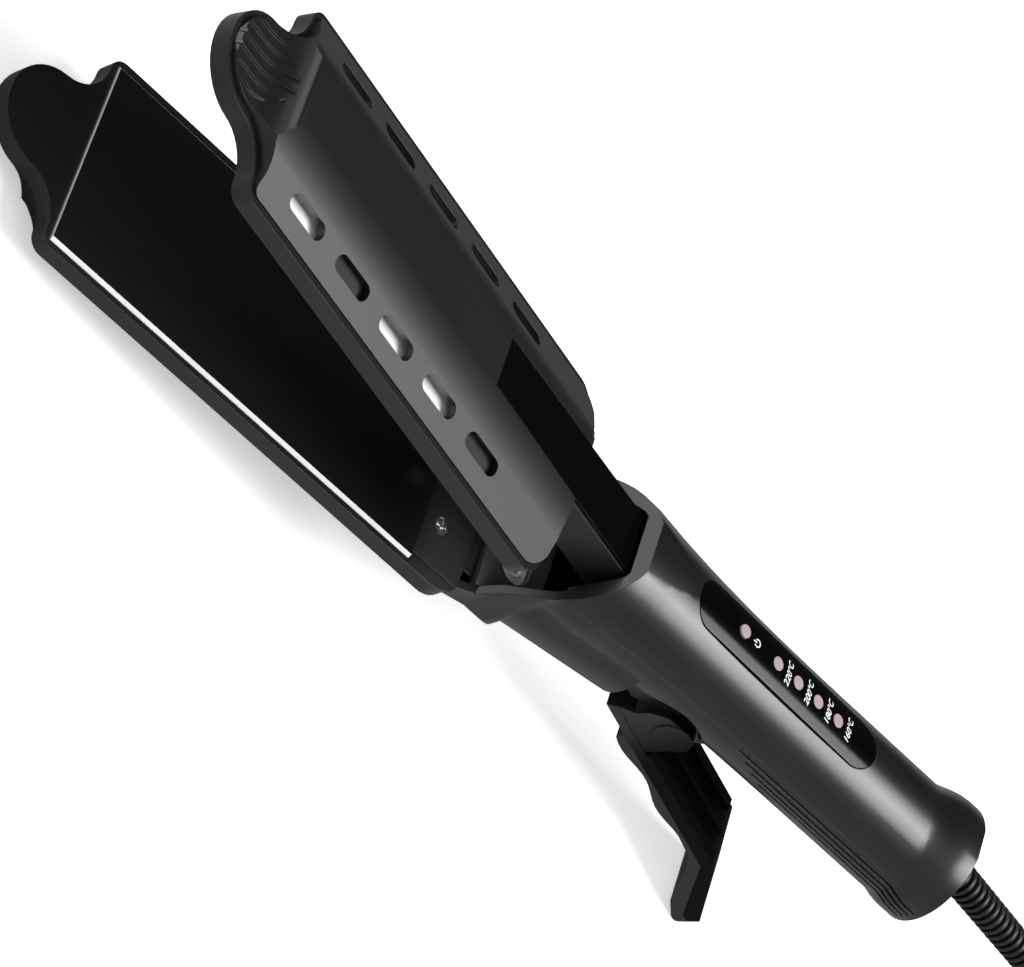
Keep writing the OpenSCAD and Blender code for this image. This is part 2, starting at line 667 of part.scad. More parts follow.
// Everything in front of the end wall's inner face
module before_end(wall) {
  depth = wall / cos(end_lean);
  across_y([[jaw_rear - 10, -60], [jaw_rear - 10, 80], [end_face_x(80) - depth, 80], [end_face_x(-60) - depth, -60]], 100);
}
// Hollow inside both shells, drawn in by their wall and some room
module shell_room(room) {
  wall = shell_wall + room;
  neck(wall, 3);
  belly(wall);
  intersection() {
    handle_body(wall);
    before_end(wall);
  }
}
// Space under or over the seam
module under_seam() {
  block([jaw_rear - 30, -60, -60], [end_x + 30, 60, seam_z]);
}
module over_seam() {
  block([jaw_rear - 30, -60, seam_z], [end_x + 30, 60, 80]);
}

handle_screw_at = [[163, 11.2], [224.5, 0], [254.2, 0]];
handle_screw_r = 1.25;

// Lower shell: neck, belly, grooved grip, lever arch and hinge lugs
module handle_lower_shell() {
  color("#3c3c40") {
    difference() {
      difference() {
        intersection() {
          union() {
            neck(0);
            belly(0);
            handle_body(0);
          }
          behind_mouth(0);
          under_seam();
        }
        cross_pin(arch_at[0], arch_at[1], arch_r, -30, 30);
        cross_pin(hinge_x, hinge_z, boss_r + 1.1, -30, 30);
      }
      shell_room(0);
      block([hinge_x, -lug_in, hinge_z], [hinge_x + 13, lug_in, 3]);
      side_grooves();
      for (p = handle_screw_at) translate([p[0], p[1], -20]) {
        cylinder(r = 2.6, h = 20 + screw_seat(p));
        cylinder(r = handle_screw_r + 0.2, h = 30);
      }
      relief_seat(0.05);
    }
    lug_plates();
    screw_posts();
    bridge_ribs();
    jaw_tongue();
    clamp_posts();
  }
}
// Height of the belly's axis and the belly's radius at a place along the handle
function belly_at(x) = let (t = (x - belly_x1) / (belly_end_x - belly_x1))
  [belly_z1 + (belly_z2 - belly_z1) * t, belly_r1 + (belly_r2 - belly_r1) * t];
// Height where a shell screw's head rests, so that the whole head lies inside the shell's curve
function screw_seat(p) = p[1] == 0 ? axis_z - grip_r(p[0]) + 1.4
  : let (b = belly_at(p[0])) b[0] - sqrt(b[1] * b[1] - pow(abs(p[1]) + 2.3, 2)) + 1.3;
// Grooves along both sides of the lower shell
module side_grooves() {
  difference() {
    for (s = [0, 1], i = [0:groove_n - 1]) mirror([0, s, 0])
      block([200 + i * 4, 5, groove_top - i * groove_pitch - groove_w / 2], [end_x - 3, 30, groove_top - i * groove_pitch + groove_w / 2]);
    handle_body(groove_d);
  }
}
// Two lugs that carry the hinge bushes
module lug_plates() {
  for (s = [-1, 1]) {
    difference() {
      union() {
        translate([0, s * (lug_in + lug_t / 2), 0]) {
          across_y([[hinge_x - 2, hinge_z + 3.6], [hinge_x + 6, 3.4], [hinge_x + 18, 3.4], [hinge_x + 18, axis_z - waist_r + 1.4],
            [hinge_x + 8, axis_z - waist_r + 1], [hinge_x + 2.5, hinge_z - 3.3]], lug_t);
        }
        cross_pin(hinge_x, hinge_z, lug_r, s > 0 ? lug_in : -lug_in - lug_t, s > 0 ? lug_in + lug_t : -lug_in);
      }
      cross_pin(hinge_x, hinge_z, pin_r + pin_play + bush_t, -20, 20);
    }
  }
}
// Posts for the shell screws
module screw_posts() {
  for (p = handle_screw_at) {
    difference() {
      intersection() {
        union() {
          translate([p[0], p[1], screw_seat(p)]) cylinder(r = 2.7, h = seam_z - screw_seat(p));
          if (p[1] != 0) translate([p[0], p[1], screw_seat(p) - 6]) cylinder(r = 3.6, h = 7.2);
        }
        union() {
          belly(0.5);
          handle_body(0.5);
        }
      }
      translate([p[0], p[1], -30]) cylinder(r = handle_screw_r + 0.2, h = 60);
      translate([p[0], p[1], -30]) cylinder(r = 2.6, h = 30 + screw_seat(p));
    }
  }
}
// Ribs on the neck's floor that carry the root bridge
module bridge_ribs() {
  difference() {
    intersection() {
      for (x = [bridge_x + 3, bridge_x + bridge_l - 4]) {
        block([x, -neck_half, -neck_h], [x + 1.6, neck_half, -0.4 - bridge_t]);
      }
      union() {
        neck(0.5);
        belly(0.5);
      }
    }
    block([bridge_x, -14, -9], [bridge_x + bridge_l, -1.5, 0]);
  }
}
// Tongue that reaches into the lower jaw
module jaw_tongue() {
  difference() {
    block([holder_screw_x - 4, -13.4, -rim_top - 2.2], [jaw_rear + 6, 13.4, -rim_top - 0.2]);
    block([holder_screw_x - 5, -5, -rim_top - 3], [jaw_rear + 7, 5, 0]);
    for (s = [-1, 1]) translate([holder_screw_x, s * holder_screw_y, -20]) cylinder(r = jaw_screw_r, h = 30);
  }
}

// Upper shell: round back with the mouth's lip and the panel seat
module handle_upper_shell() {
  color("#38383c") {
    difference() {
      union() {
        difference() {
          intersection() {
            handle_body(0);
            behind_mouth(0);
            over_seam();
          }
          intersection() {
            handle_body(shell_wall);
            before_end(shell_wall);
            union() {
              behind_mouth(lip_l);
              along_x(both_halves([[mouth_r - 1.5, 0], [mouth_r - 2.4, 13], [lip_half + 1.8, lip_top - 2.8], [lip_half, lip_top]]), 100, mouth_x + 10);
            }
          }
        }
        intersection() {
          panel_axes() block([-panel_l / 2 - 2.5, -8.4, -panel_t - 2], [panel_l / 2 + 2.5, 8.4, 4]);
          handle_body(shell_wall / 2);
          over_seam();
        }
        intersection() {
          for (p = handle_screw_at) translate([p[0], p[1], seam_z]) cylinder(r = 2.7, h = p[1] == 0 ? 30 : 6);
          handle_body(shell_wall / 2);
        }
      }
      panel_axes() {
        translate([0, 0, 3 - panel_t]) stadium(panel_l + 0.3, panel_w + 0.3, 6);
        for (x = lens_places()) translate([x, 0, -8]) cylinder(r = lens_r + 0.2, h = 8);
        translate([button_x, 0, -8]) cylinder(r = button_r, h = 8);
        translate([button_x, 0, -panel_t - 1.5]) cylinder(r = 2.6, h = 3);
      }
      for (p = handle_screw_at) translate([p[0], p[1], 0]) cylinder(r = handle_screw_r, h = seam_z + 5);
      relief_seat(0.05);
    }
    board_posts();
  }
}
function lens_places() = [for (i = [0:3]) lens_x + i * lens_pitch];

// Posts under the panel seat for the circuit board
board_top = -6;
board_t = 1.6;
board_screw_at = [[-21.5, 0], [22, 0]];
module board_posts() {
  panel_axes() for (p = board_screw_at) difference() {
    translate([p[0], p[1], board_top]) cylinder(r = 2, h = -board_top - panel_t - 1);
    translate([p[0], p[1], board_top - 1]) cylinder(r = 0.8, h = 2.7);
  }
}

// Lower jaw

module lower_jaw_frame() {
  color("#2a2a2d") lower() jaw_frame(jaw_rear);
}
module lower_jaw_cover() {
  color("#3a3a3e") difference() {
    lower() jaw_cover(jaw_rear);
    block([holder_screw_x - 4.2, -13.6, -rim_top - 2.4], [jaw_rear + 1, 13.6, -rim_top + 1]);
  }
}
module lower_heating_plate() {
  color("#15161a") lower() heating_plate();
}
module lower_end_holder() {
  color("#050507") lower() end_holder(jaw_rear, 3.8);
}
module lower_heater() {
  color("#e8e4da") lower() heater();
}
module lower_heat_shield() {
  color("#c8cacc") lower() heat_shield();
}
module lower_thermal_fuse() {
  color("#d9c9a0") lower() thermal_fuse();
}
module lower_jaw_screws() {
  color("#b4b6ba") lower() jaw_screws();
}
module lower_slot_pads() {
  color("#0a0a0b") lower() slot_pads();
}

// Deck between the jaws' root and the mouth, with the wire slot
module root_bridge() {
  color("#3d3d40") difference() {
    intersection() {
      block([bridge_x + 0.1, -30, -0.4 - bridge_t], [bridge_x + bridge_l, 30, -0.4]);
      union() {
        neck(shell_wall + 0.15);
        belly(shell_wall + 0.15);
      }
    }
    translate([bridge_x + bridge_l / 2, 0, -2]) rotate([0, 0, 90]) stadium(wire_slot_l, wire_slot_w, 10);
  }
}
// White clip that holds the sleeved wires in the deck's slot
module wire_clip() {
  clip_x = bridge_x + bridge_l / 2;
  color("#f2f2f0") {
    difference() {
      translate([clip_x, 0, -2.4]) rotate([0, 0, 90]) stadium(wire_slot_l - 0.2, wire_slot_w - 0.2, 1.6);
      for (s = [-1, 1]) translate([clip_x, s * 5.5, -5]) cylinder(r = 1.6, h = 10);
    }
    for (s = [-1, 1]) translate([clip_x, s * 5.5, -3.2]) difference() {
      cylinder(r = 2.4, h = 2.6);
      translate([0, 0, -1]) cylinder(r = 1.6, h = 6);
    }
  }
}

// Control panel, lenses and button

module control_panel() {
  color("#060607") panel_axes() difference() {
    intersection() {
      translate([0, 0, 3 - panel_t]) stadium(panel_l, panel_w, 6);
      translate([-50, 0, -panel_crown_r]) rotate([0, 90, 0]) cylinder(r = panel_crown_r, h = 100);
    }
    for (x = lens_places()) translate([x, 0, -9]) cylinder(r = lens_r, h = 18);
    translate([button_x, 0, -9]) cylinder(r = button_r + 0.15, h = 18);
  }
}
module indicator_lenses() {
  color("#b9a3a6") panel_axes() for (x = lens_places()) translate([x, 0, -panel_t - 0.6]) cylinder(r = lens_r, h = panel_t + 0.65);
}
module power_button() {
  color("#b9a3a6") panel_axes() translate([button_x, 0, 0]) {
    translate([0, 0, -panel_t - 0.3]) cylinder(r = button_r, h = panel_t + 0.3 + button_proud);
    translate([0, 0, -panel_t - 0.75]) cylinder(r = 2.3, h = 0.7);
    translate([0, 0, -4.1]) cylinder(r = 1.2, h = 2);
  }
}
module switch_plunger() {
  color("#101012") panel_axes() translate([button_x, 0, -5.3]) cylinder(r = 0.9, h = 1.2);
}
module tact_switch() {
  color("#b0b2b6") panel_axes() translate([button_x, 0, board_top]) difference() {
    linear_extrude(1.1) square([4.5, 4.5], center = true);
    translate([0, 0, -1]) cylinder(r = 1, h = 4);
  }
}
module circuit_board() {
  color("#1f5a34") panel_axes() difference() {
    block([-24.5, -7.2, board_top - board_t], [25, 7.2, board_top]);
    for (p = board_screw_at) translate([p[0], p[1], board_top - 4]) cylinder(r = 0.8, h = 8);
  }
}
module board_screws() {
  color("#b4b6ba") panel_axes() for (p = board_screw_at) translate([p[0], p[1], board_top - board_t]) {
    mirror([0, 0, 1]) screw_head(1.6, 1);
    cylinder(r = 0.8, h = board_t + 1.6);
  }
}
module indicator_leds() {
  color("#e6e0d8") panel_axes() for (x = lens_places()) translate([x, 0, board_top]) {
    cylinder(r = 1.5, h = 1.6);
    translate([0, 0, 1.6]) sphere(r = 1.5);
  }
}
// Capacitor, relay and fuse under the board
module board_components() {
  foot = board_top - board_t;
  color("#2b3d63") panel_axes() {
    block([-4, -6.8, foot - 6], [6, 6.8, foot]);
    translate([7.5, 3.4, foot - 3.1]) rotate([0, 90, 0]) cylinder(r = 3.1, h = 9);
    block([8, -6.8, foot - 4], [15, -1.5, foot]);
  }
}

// Hinge

module hinge_bushes() {
  color("#c9a24a") for (s = [-1, 1]) difference() {
    cross_pin(hinge_x, hinge_z, pin_r + pin_play + bush_t, s > 0 ? lug_in : -lug_in - lug_t, s > 0 ? lug_in + lug_t : -lug_in);
    cross_pin(hinge_x, hinge_z, pin_r + pin_play, -20, 20);
  }
}
module hinge_pin() {
  color("#c4c6ca") swing() cross_pin(hinge_x, hinge_z, pin_r, -cheek_out + 0.8, cheek_out - 0.8);
}
// Return spring: a coil round the pin with one leg on the shell and one on the lever
module torsion_spring() {
  turns = spring_turns + 0.25;
  steps = round(turns * 12);
  half = spring_turns * spring_wire_r * 1.12;
  centres = concat(
    [[hinge_x + 15, -half, axis_z - waist_r + shell_wall + spring_wire_r + 1]],
    [for (i = [0:steps]) let (a = 90 + 360 * turns * i / steps)
      [hinge_x + spring_r * cos(a), -half + 2 * half * i / steps, hinge_z + spring_r * sin(a)]],
    [[hinge_x - spring_r + 9.5, half, hinge_z - spring_r - 6.6]]);
  color("#9a9ca2") tube(centres, spring_wire_r, 6);
}

// Tube of a given radius along a list of points, with flat ends
function unit(v) = v / norm(v);
// Directions at the points; the first and the last may be given, so that two tubes share a flat face
function tube_ways(p, first, last) = let (n = len(p) - 1)
  [for (i = [0:n]) unit(i == 0 ? (first == undef ? p[1] - p[0] : first) : i == n ? (last == undef ? p[n] - p[n - 1] : last)
    : unit(p[i + 1] - p[i]) + unit(p[i] - p[i - 1]))];
function tube_sides(w) = [for (i = 0, s = unit(cross(w[0], abs(w[0][2]) < 0.9 ? [0, 0, 1] : [0, 1, 0])); i < len(w); i = i + 1,
  s = i < len(w) ? unit(s - (s * w[i]) * w[i]) : s) s];
module tube(p, r, sides, first = undef, last = undef) {
  n = len(p);
  way = tube_ways(p, first, last);
  side = tube_sides(way);
  points = [for (i = [0:n - 1]) let (w = way[i], u = side[i], v = cross(w, u))
    for (k = [0:sides - 1]) p[i] + r * (cos(360 * k / sides) * u + sin(360 * k / sides) * v)];
  walls = [for (i = [0:n - 2], k = [0:sides - 1]) let (a = i * sides + k, b = i * sides + (k + 1) % sides)
    for (f = [[a, b + sides, b], [a, a + sides, b + sides]]) f];
  polyhedron(points, concat(walls, [[for (k = [0:sides - 1]) k]], [[for (k = [sides - 1:-1:0]) (n - 1) * sides + k]]));
}

// Mains lead at the handle

// Strain relief axes: origin where it leaves the end face, x along the relief
module relief_axes() {
  translate([relief_x, 0, relief_z]) rotate([0, relief_fall, 0]) children();
}
module relief_seat(play) {
  relief_axes() {
    translate([-6.3, 0, 0]) rotate([0, 90, 0]) cylinder(r = relief_r + play, h = 30);
    translate([-6.3, 0, 0]) rotate([0, 90, 0]) cylinder(r = relief_r + 1.6 + play, h = 2.4);
  }
}
module strain_relief() {
  ribs = floor((relief_l - 8) / rib_pitch);
  color("#0c0c0d") relief_axes() rotate([0, 90, 0]) rotate_extrude()
    polygon(concat([[0, -6.2], [relief_r + 1.6, -6.2], [relief_r + 1.6, -3.95], [relief_r, -3.95], [relief_r, 4]],
      [for (i = [0:ribs - 1]) let (x = 4 + i * rib_pitch, r = relief_r - 0.5 * i / ribs)
        for (q = [[r, x], [r - 0.9, x + 0.1], [r - 0.9, x + 0.9], [r, x + 1]]) q],
      [[relief_r - 0.5, 4 + ribs * rib_pitch], [relief_r - 0.8, relief_l], [0, relief_l]]));
}
// Clamp bar that grips the lead in front of the strain relief
clamp_x = 247;
clamp_y = 6.2;
module cord_clamp() {
  color("#19191b") difference() {
    block([clamp_x - 3, -clamp_y - 2.4, axis_z + 2.2], [clamp_x + 3, clamp_y + 2.4, axis_z + 4.8]);
    translate([clamp_x - 5, 0, axis_z]) rotate([0, 90, 0]) cylinder(r = 2.9, h = 10);
    for (s = [-1, 1]) translate([clamp_x, s * clamp_y, 0]) cylinder(r = 1.1, h = 40);
  }
}
module clamp_posts() {
  for (s = [-1, 1]) difference() {
    intersection() {
      translate([clamp_x, s * clamp_y, axis_z - waist_r + 1]) cylinder(r = 2.3, h = waist_r + 1.2);
      handle_body(0.5);
    }
    translate([clamp_x, s * clamp_y, axis_z - 5]) cylinder(r = 1.1, h = 20);
  }
}
module cord_clamp_screws() {
  color("#b4b6ba") for (s = [-1, 1]) translate([clamp_x, s * clamp_y, 0]) {
    translate([0, 0, axis_z + 4.8]) screw_head(2, 1.2);
    translate([0, 0, axis_z - 4]) cylinder(r = 1.1, h = 8.8);
  }
}
module handle_screws() {
  color("#b4b6ba") for (p = handle_screw_at) translate([p[0], p[1], screw_seat(p)]) {
    mirror([0, 0, 1]) screw_head(2.3, 1.1);
    cylinder(r = handle_screw_r, h = seam_z + 4.5 - screw_seat(p));
  }
}
// Sheathed end of the lead in the clamp and its two wires to the board
module mains_wires() {
  color("#17324d") {
    translate([clamp_x - 8, 0, axis_z]) rotate([0, 90, 0]) cylinder(r = cord_r, h = 12);
    for (s = [-1, 1]) tube([[clamp_x - 8, s * 1.3, axis_z], [clamp_x - 10, s * 1.3, axis_z], [234, s * 4.4, axis_z + 0.6], [221, s * 5.5, 13.6], [217, s * 5.6, 15.6], [216.4, s * 5.6, 18.5]], 0.9, 8);
  }
}
module heater_wires() {
  z0 = -plate_back - wire_r - 0.05;
  color("#ece9e2") for (k = [-1, 1])
    tube([[(plate_l + heater_l) / 2, k * 3.7, z0], [plate_l - 6, k * 3.7, z0], [plate_l + 3, k * 2.4, z0], [jaw_rear, k * 1.6, z0],
      [bridge_x + 1.2 + 0.8 * k, -3 + k, -4.2], [bridge_x + 4.6 + 0.8 * k, -7.6 + k, -4.3], [bridge_end + 1.2, -8 + k, -4.2], [bridge_end + 7.7, -8.8 + k, -1.2],
      [(bridge_end + 179.7) / 2, -10.2 + k * 0.9, 4], [172, -9.2 + k * 0.9, 10], [179, -8.8 + k * 0.9, 15.4], [183 - 0.3 * k, -6.3 + k * 0.9, 17.4], [183.4 - 0.3 * k, -6 + k * 0.9, 19.35]], wire_r, 8);
}

// Swinging side

module upper_jaw_frame() {
  color("#2c2c2f") swing() jaw_frame(upper_rear);
}
module upper_jaw_cover() {
  color("#3f3f43") swing() difference() {
    jaw_cover(upper_rear);
    inlay_shape(0.1);
    along_x(arm_section(0.15), arm_x - 0.1, jaw_rear + 6);
  }
}
module inlay_shape(play) {
  upright(both_sides([[inlay_x - play, inlay_half + play], [mouth_x + 5, arm_top_half + play]]), jaw_h - inlay_t, jaw_h + (play > 0 ? 1 : 0));
}
module arm_inlay() {
  color("#020203") swing() inlay_shape(0);
}
function arm_section(play) = both_halves([[arm_foot_half + play, arm_foot_z - play], [arm_top_half + play, jaw_h - inlay_t]]);
// Side view of the arm from the jaw to the hinge head
arm_x = plate_l + 8;
tongue_x = plate_l - 14;
function arm_side() = [[arm_x, rim_top + 0.1], [upper_rear + 0.2, rim_top + 0.1], [upper_rear + 0.2, arm_foot_z], [152, arm_foot_z], [172, 1.6], [174.8, 1.4], [178, -8],
  [183, -9], [hinge_x - 4, hinge_z + 3], [188, 1.5], [172, 7.6], [158, jaw_h - inlay_t - 0.3], [mouth_x + 5, jaw_h - inlay_t], [arm_x, jaw_h - inlay_t]];
// Head of the lever seen from the side, in the lever's axes
function head_side() = [[-12.9, core_foot], [-11.5, core_foot + 2.6], [-9.2, -5.6], [-9, -1.6], [-7, 1.8], [-2.6, boss_r - 0.9],
  [0, boss_r - 0.2], [boss_r - 0.1, 0], [boss_r, -lever_drop], [4, core_foot]];
// The lever's core seen from the side, in the lever's axes
function core_side() = concat([[-12.9, core_foot], [-11.8, -lever_drop], [lever_l, -lever_drop]],
  arc(tip_at, tip_r, 62, 0, 5), [[tip_at[0] - 1, tip_at[1] - 0.2], [lever_l - 2, core_foot]]);
// Plan of the lever with its rounded tip, in the lever's axes
function lever_plan() = both_sides(concat([[-20, lever_w / 2]],
  arc([tip_at[0] + tip_r - 2.6, lever_w / 2 - 2.6], 2.6, 90, 0, 6)));

// Arm, hinge head and lever core: one moulding
module upper_arm_and_lever() {
  color("#151517") swing() difference() {
    union() {
      intersection() {
        across_y(arm_side(), 40);
        union() {
          along_x(arm_section(0), arm_x - 1, mouth_x + 5);
          block([mouth_x + 5 - eps, -arm_top_half + 1, -20], [hinge_x, arm_top_half - 1, jaw_h]);
        }
      }
      block([tongue_x, -arm_top_half + 0.6, jaw_h - cover_wall - 3.6], [arm_x + eps, arm_top_half - 0.6, jaw_h - cover_wall - 0.6]);
      lever_axes() {
        across_y(head_side(), 2 * cheek_out);
        intersection() {
          across_y(core_side(), lever_w);
          upright(lever_plan(), -60, 20);
        }
        for (s = [-1, 1]) block([6, s > 0 ? lever_w / 2 - 3 : -lever_w / 2, -lever_drop - eps],
          [lever_l - 3, s > 0 ? lever_w / 2 : 3 - lever_w / 2, 1 - lever_drop]);
        block([6, -0.7, -lever_drop - eps], [lever_l - 3, 0.7, 1 - lever_drop]);
      }
      cross_pin(hinge_x, hinge_z, boss_r, -cheek_out - 0.3, cheek_out + 0.3);
    }
    cross_pin(hinge_x, hinge_z, lug_clear, -cheek_in, cheek_in);
    lever_axes() block([0, -cheek_in, 1 - lever_drop], [boss_r + 3, cheek_in, 10]);
    cross_pin(hinge_x, hinge_z, pin_r, -cheek_out + 0.8, cheek_out - 0.8);
    block([arm_x - 2, -2.6, 0], [168, 2.6, plate_back + 2.4]);
    lever_axes() translate([4, 0, core_foot - 5]) cylinder(r = 1.1, h = 6.6);
  }
}
// Scalloped lower side of the lever, in the lever's axes
function grip_side() = concat([[-2, core_foot], [lever_l - 2, core_foot], [tip_at[0] - 1, tip_at[1] - 0.2], [tip_at[0] + tip_r, tip_at[1]]],
  arc(tip_at, tip_r, -8, -104, 8),
  [[lever_l + 11, tip_at[1] - 1.3], [lever_l + 3.5, valley_foot - 6.2], [lever_l - 1.5, valley_foot - 2.4], [lever_l - 6, valley_foot - 0.4]],
  [for (i = [0:16]) let (u = 1.6 * bump_pitch - i * (1.6 * bump_pitch + 1) / 16)
    [u, valley_foot - bump_h / 2 - bump_h / 2 * cos(360 * (u - 3) / bump_pitch)]]);
module lever_finger_grip() {
  color("#3b3b3e") swing() lever_axes() difference() {
    intersection() {
      across_y(grip_side(), lever_w);
      upright(lever_plan(), -60, 20);
    }
    translate([4, 0, -60]) cylinder(r = 2.2, h = 60 + valley_foot - 0.4);
    translate([4, 0, -60]) cylinder(r = 1.1, h = 70);
  }
}
module grip_screw() {
  color("#c4c6ca") swing() lever_axes() translate([4, 0, valley_foot - 0.4]) {
    mirror([0, 0, 1]) screw_head(2.2, 0.9);
    cylinder(r = 1.1, h = 3.1);
  }
}
// Wires to the upper heater, in the channel under the arm
module arm_wires() {
  z0 = plate_back + wire_r + 0.05;
  color("#ece9e2") swing() for (s = [-1, 1])
    tube([[(plate_l + heater_l) / 2, s * 3.7, z0], [plate_l - 6, s * 3.7, z0], [plate_l + 3, s * 1.6, z0], [arm_x + 4, s * 1.3, z0 + 0.6],
      [166, s * 1.3, z0 + 0.6]], wire_r, 8);
}
module upper_heating_plate() {
  color("#15161a") swing() heating_plate();
}
module upper_end_holder() {
  color("#050507") swing() end_holder(upper_rear, 0);
}
module upper_heater() {
  color("#e8e4da") swing() heater();
}
module upper_heat_shield() {
  color("#c8cacc") swing() heat_shield();
}
module upper_thermal_fuse() {
  color("#d9c9a0") swing() thermal_fuse();
}
module upper_jaw_screws() {
  color("#b4b6ba") swing() jaw_screws();
}
module upper_slot_pads() {
  color("#0a0a0b") swing() slot_pads();
}

// Free lead, coil and plug, where they lie on the table

// Points of the lead from the strain relief down to the coil
cord_points = [
  [171, 0, 68.4], [179, 0, 68.4], [188.7, -0.7, 67.6], [196.6, -2.6, 65.5], [203.1, -5.6, 62.4], [208.5, -9.2, 58.5],
  [213.1, -13.4, 54.2], [217.2, -17.8, 49.7], [221.3, -22.2, 45.3], [225.5, -26.3, 41.4]
];
// Points of the lead from the coil to the plug, from where the coil ends
end_points = [
  [0, 0, 0], [-6.6, 0, 0], [-13.1, 0, 0.1], [-19.7, 0, 0.4], [-26.2, 0, 0.8], [-32.8, 0, 1.3],
  [-39, -0.8, 1.9], [-44.8, -3.2, 2.4], [-49.8, -7, 2.8], [-53.6, -12, 3], [-56, -17.8, 3.1], [-56.8, -24, 3.1]
];
// Middle of the coil's lowest layer, the layers, and the side where the lead comes onto the top one
coil_mid = [252, 0, 3.9];
coil_layers = 4;
coil_from = -126;
// Height of the lead over the top layer where it comes down, and the turns that it takes
coil_lift = 16;
coil_land = 0.3;
coil_pitch = 2 * cord_r + coil_room;
coil_out = coil_r + coil_turns * coil_pitch;
coil_end = coil_mid + [0, coil_out, 0];
function coil_climb(t) = let (u = max(0, min(1, 2 * t + 0.5))) u * u * (3 - 2 * u);
function coil_fall(q, k) = k == 0 ? 0 : coil_climb(q - k * coil_turns) + coil_fall(q, k - 1);
function coil_point(q) = let (m = q % (2 * coil_turns), r = coil_r + coil_pitch * abs(coil_turns - m), a = coil_from + 360 * q)
  coil_mid + [r * cos(a), r * sin(a), coil_pitch * (coil_layers - 1 - coil_fall(q, coil_layers - 1)) + coil_lift * pow(max(0, 1 - q / coil_land), 2)];
coil_steps = round(24 * coil_layers * coil_turns);
coil_points = [for (i = [0:coil_steps]) coil_point(coil_layers * coil_turns * i / coil_steps)];

module cord() {
  color("#0c0c0d") tube(concat(cord_points, [coil_points[0]]), cord_r, 10, last = coil_points[1] - coil_points[0]);
}
module cord_coil() {
  gap = min([for (i = [0:len(coil_points) - 10], k = [i + 9:len(coil_points) - 1]) norm(coil_points[i] - coil_points[k])]) - 2 * cord_r;
  echo(least_gap_of_the_coil_to_itself = gap);
  color("#0c0c0d") tube(coil_points, cord_r, 6);
}
module cord_end() {
  color("#0c0c0d") tube([for (p = end_points) coil_end + p], cord_r, 10,
    first = coil_points[coil_steps] - coil_points[coil_steps - 1], last = [0, -1, 0]);
}
// Band round the coil's turns
module cord_tie() {
  inner = coil_r - cord_r - tie_room;
  outer = coil_out + cord_r + tie_room;
  low = coil_mid[2] - cord_r - tie_room;
  high = coil_mid[2] + (coil_layers - 1) * coil_pitch + cord_r + tie_room;
  color("#16161a") translate([coil_mid[0], coil_mid[1] - tie_w / 2, 0]) difference() {
    block([inner - tie_t, 0, low - tie_t], [outer + tie_t, tie_w, high + tie_t]);
    block([inner, -1, low], [outer, tie_w + 1, high]);
  }
}
// Plug axes: origin where the lead enters the plug, x towards the pins
module plug_axes() {
  translate(coil_end + end_points[len(end_points) - 1]) rotate([0, 0, -90]) children();
}
module plug() {
  w = plug_w / 2;
  t = plug_t / 2;
  color("#0e0e10") plug_axes() difference() {
    intersection() {
      upright(both_sides([[0, 4.4], [plug_l * 0.26, 5.4], [plug_l * 0.42, w * 0.7], [plug_l * 0.6, w * 0.93], [plug_l - 2, w], [plug_l, w - 1]]), -t, t);
      across_y([[0, -4], [plug_l * 0.26, -5], [plug_l * 0.5, -t], [plug_l, -t], [plug_l, t], [plug_l * 0.5, t], [plug_l * 0.26, 5], [0, 4]], 2 * w);
    }
    pin_pair(plug_l - 8, plug_pin_r - 0.5, 8);
  }
}
module pin_pair(from, r, l) {
  for (s = [-1, 1]) translate([from, s * plug_pin_gap / 2, 0]) rotate([0, 90, 0]) cylinder(r = r, h = l);
}
module plug_pins() {
  color("#c9cbd0") plug_axes() {
    pin_pair(plug_l - 8, plug_pin_r - 0.5, 8 + eps);
    pin_pair(plug_l, plug_pin_r, plug_pin_l);
  }
}

stand() handle_lower_shell();
stand() handle_upper_shell();
stand() lower_jaw_frame();
stand() lower_jaw_cover();
stand() lower_heating_plate();
stand() lower_end_holder();
stand() lower_heater();
stand() lower_heat_shield();
stand() lower_thermal_fuse();
stand() lower_jaw_screws();
stand() lower_slot_pads();
stand() root_bridge();
stand() wire_clip();
stand() control_panel();
stand() indicator_lenses();
stand() circuit_board();
stand() board_components();
stand() tact_switch();
stand() indicator_leds();
stand() board_screws();
stand() hinge_bushes();
stand() torsion_spring();
stand() strain_relief();
stand() cord_clamp();
stand() cord_clamp_screws();
stand() handle_screws();
stand() mains_wires();
stand() heater_wires();
stand() power_button();
stand() switch_plunger();
stand() upper_jaw_frame();
stand() upper_jaw_cover();
stand() upper_arm_and_lever();
stand() arm_inlay();
stand() upper_heating_plate();
stand() upper_end_holder();
stand() upper_heater();
stand() upper_heat_shield();
stand() upper_thermal_fuse();
stand() upper_jaw_screws();
stand() upper_slot_pads();
stand() arm_wires();
stand() lever_finger_grip();
stand() grip_screw();
stand() hinge_pin();
cord();
cord_coil();
cord_end();
cord_tie();
plug();
plug_pins();
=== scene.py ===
"""Hair straightener with wide plates: finishes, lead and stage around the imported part."""

import json
import math
import sys

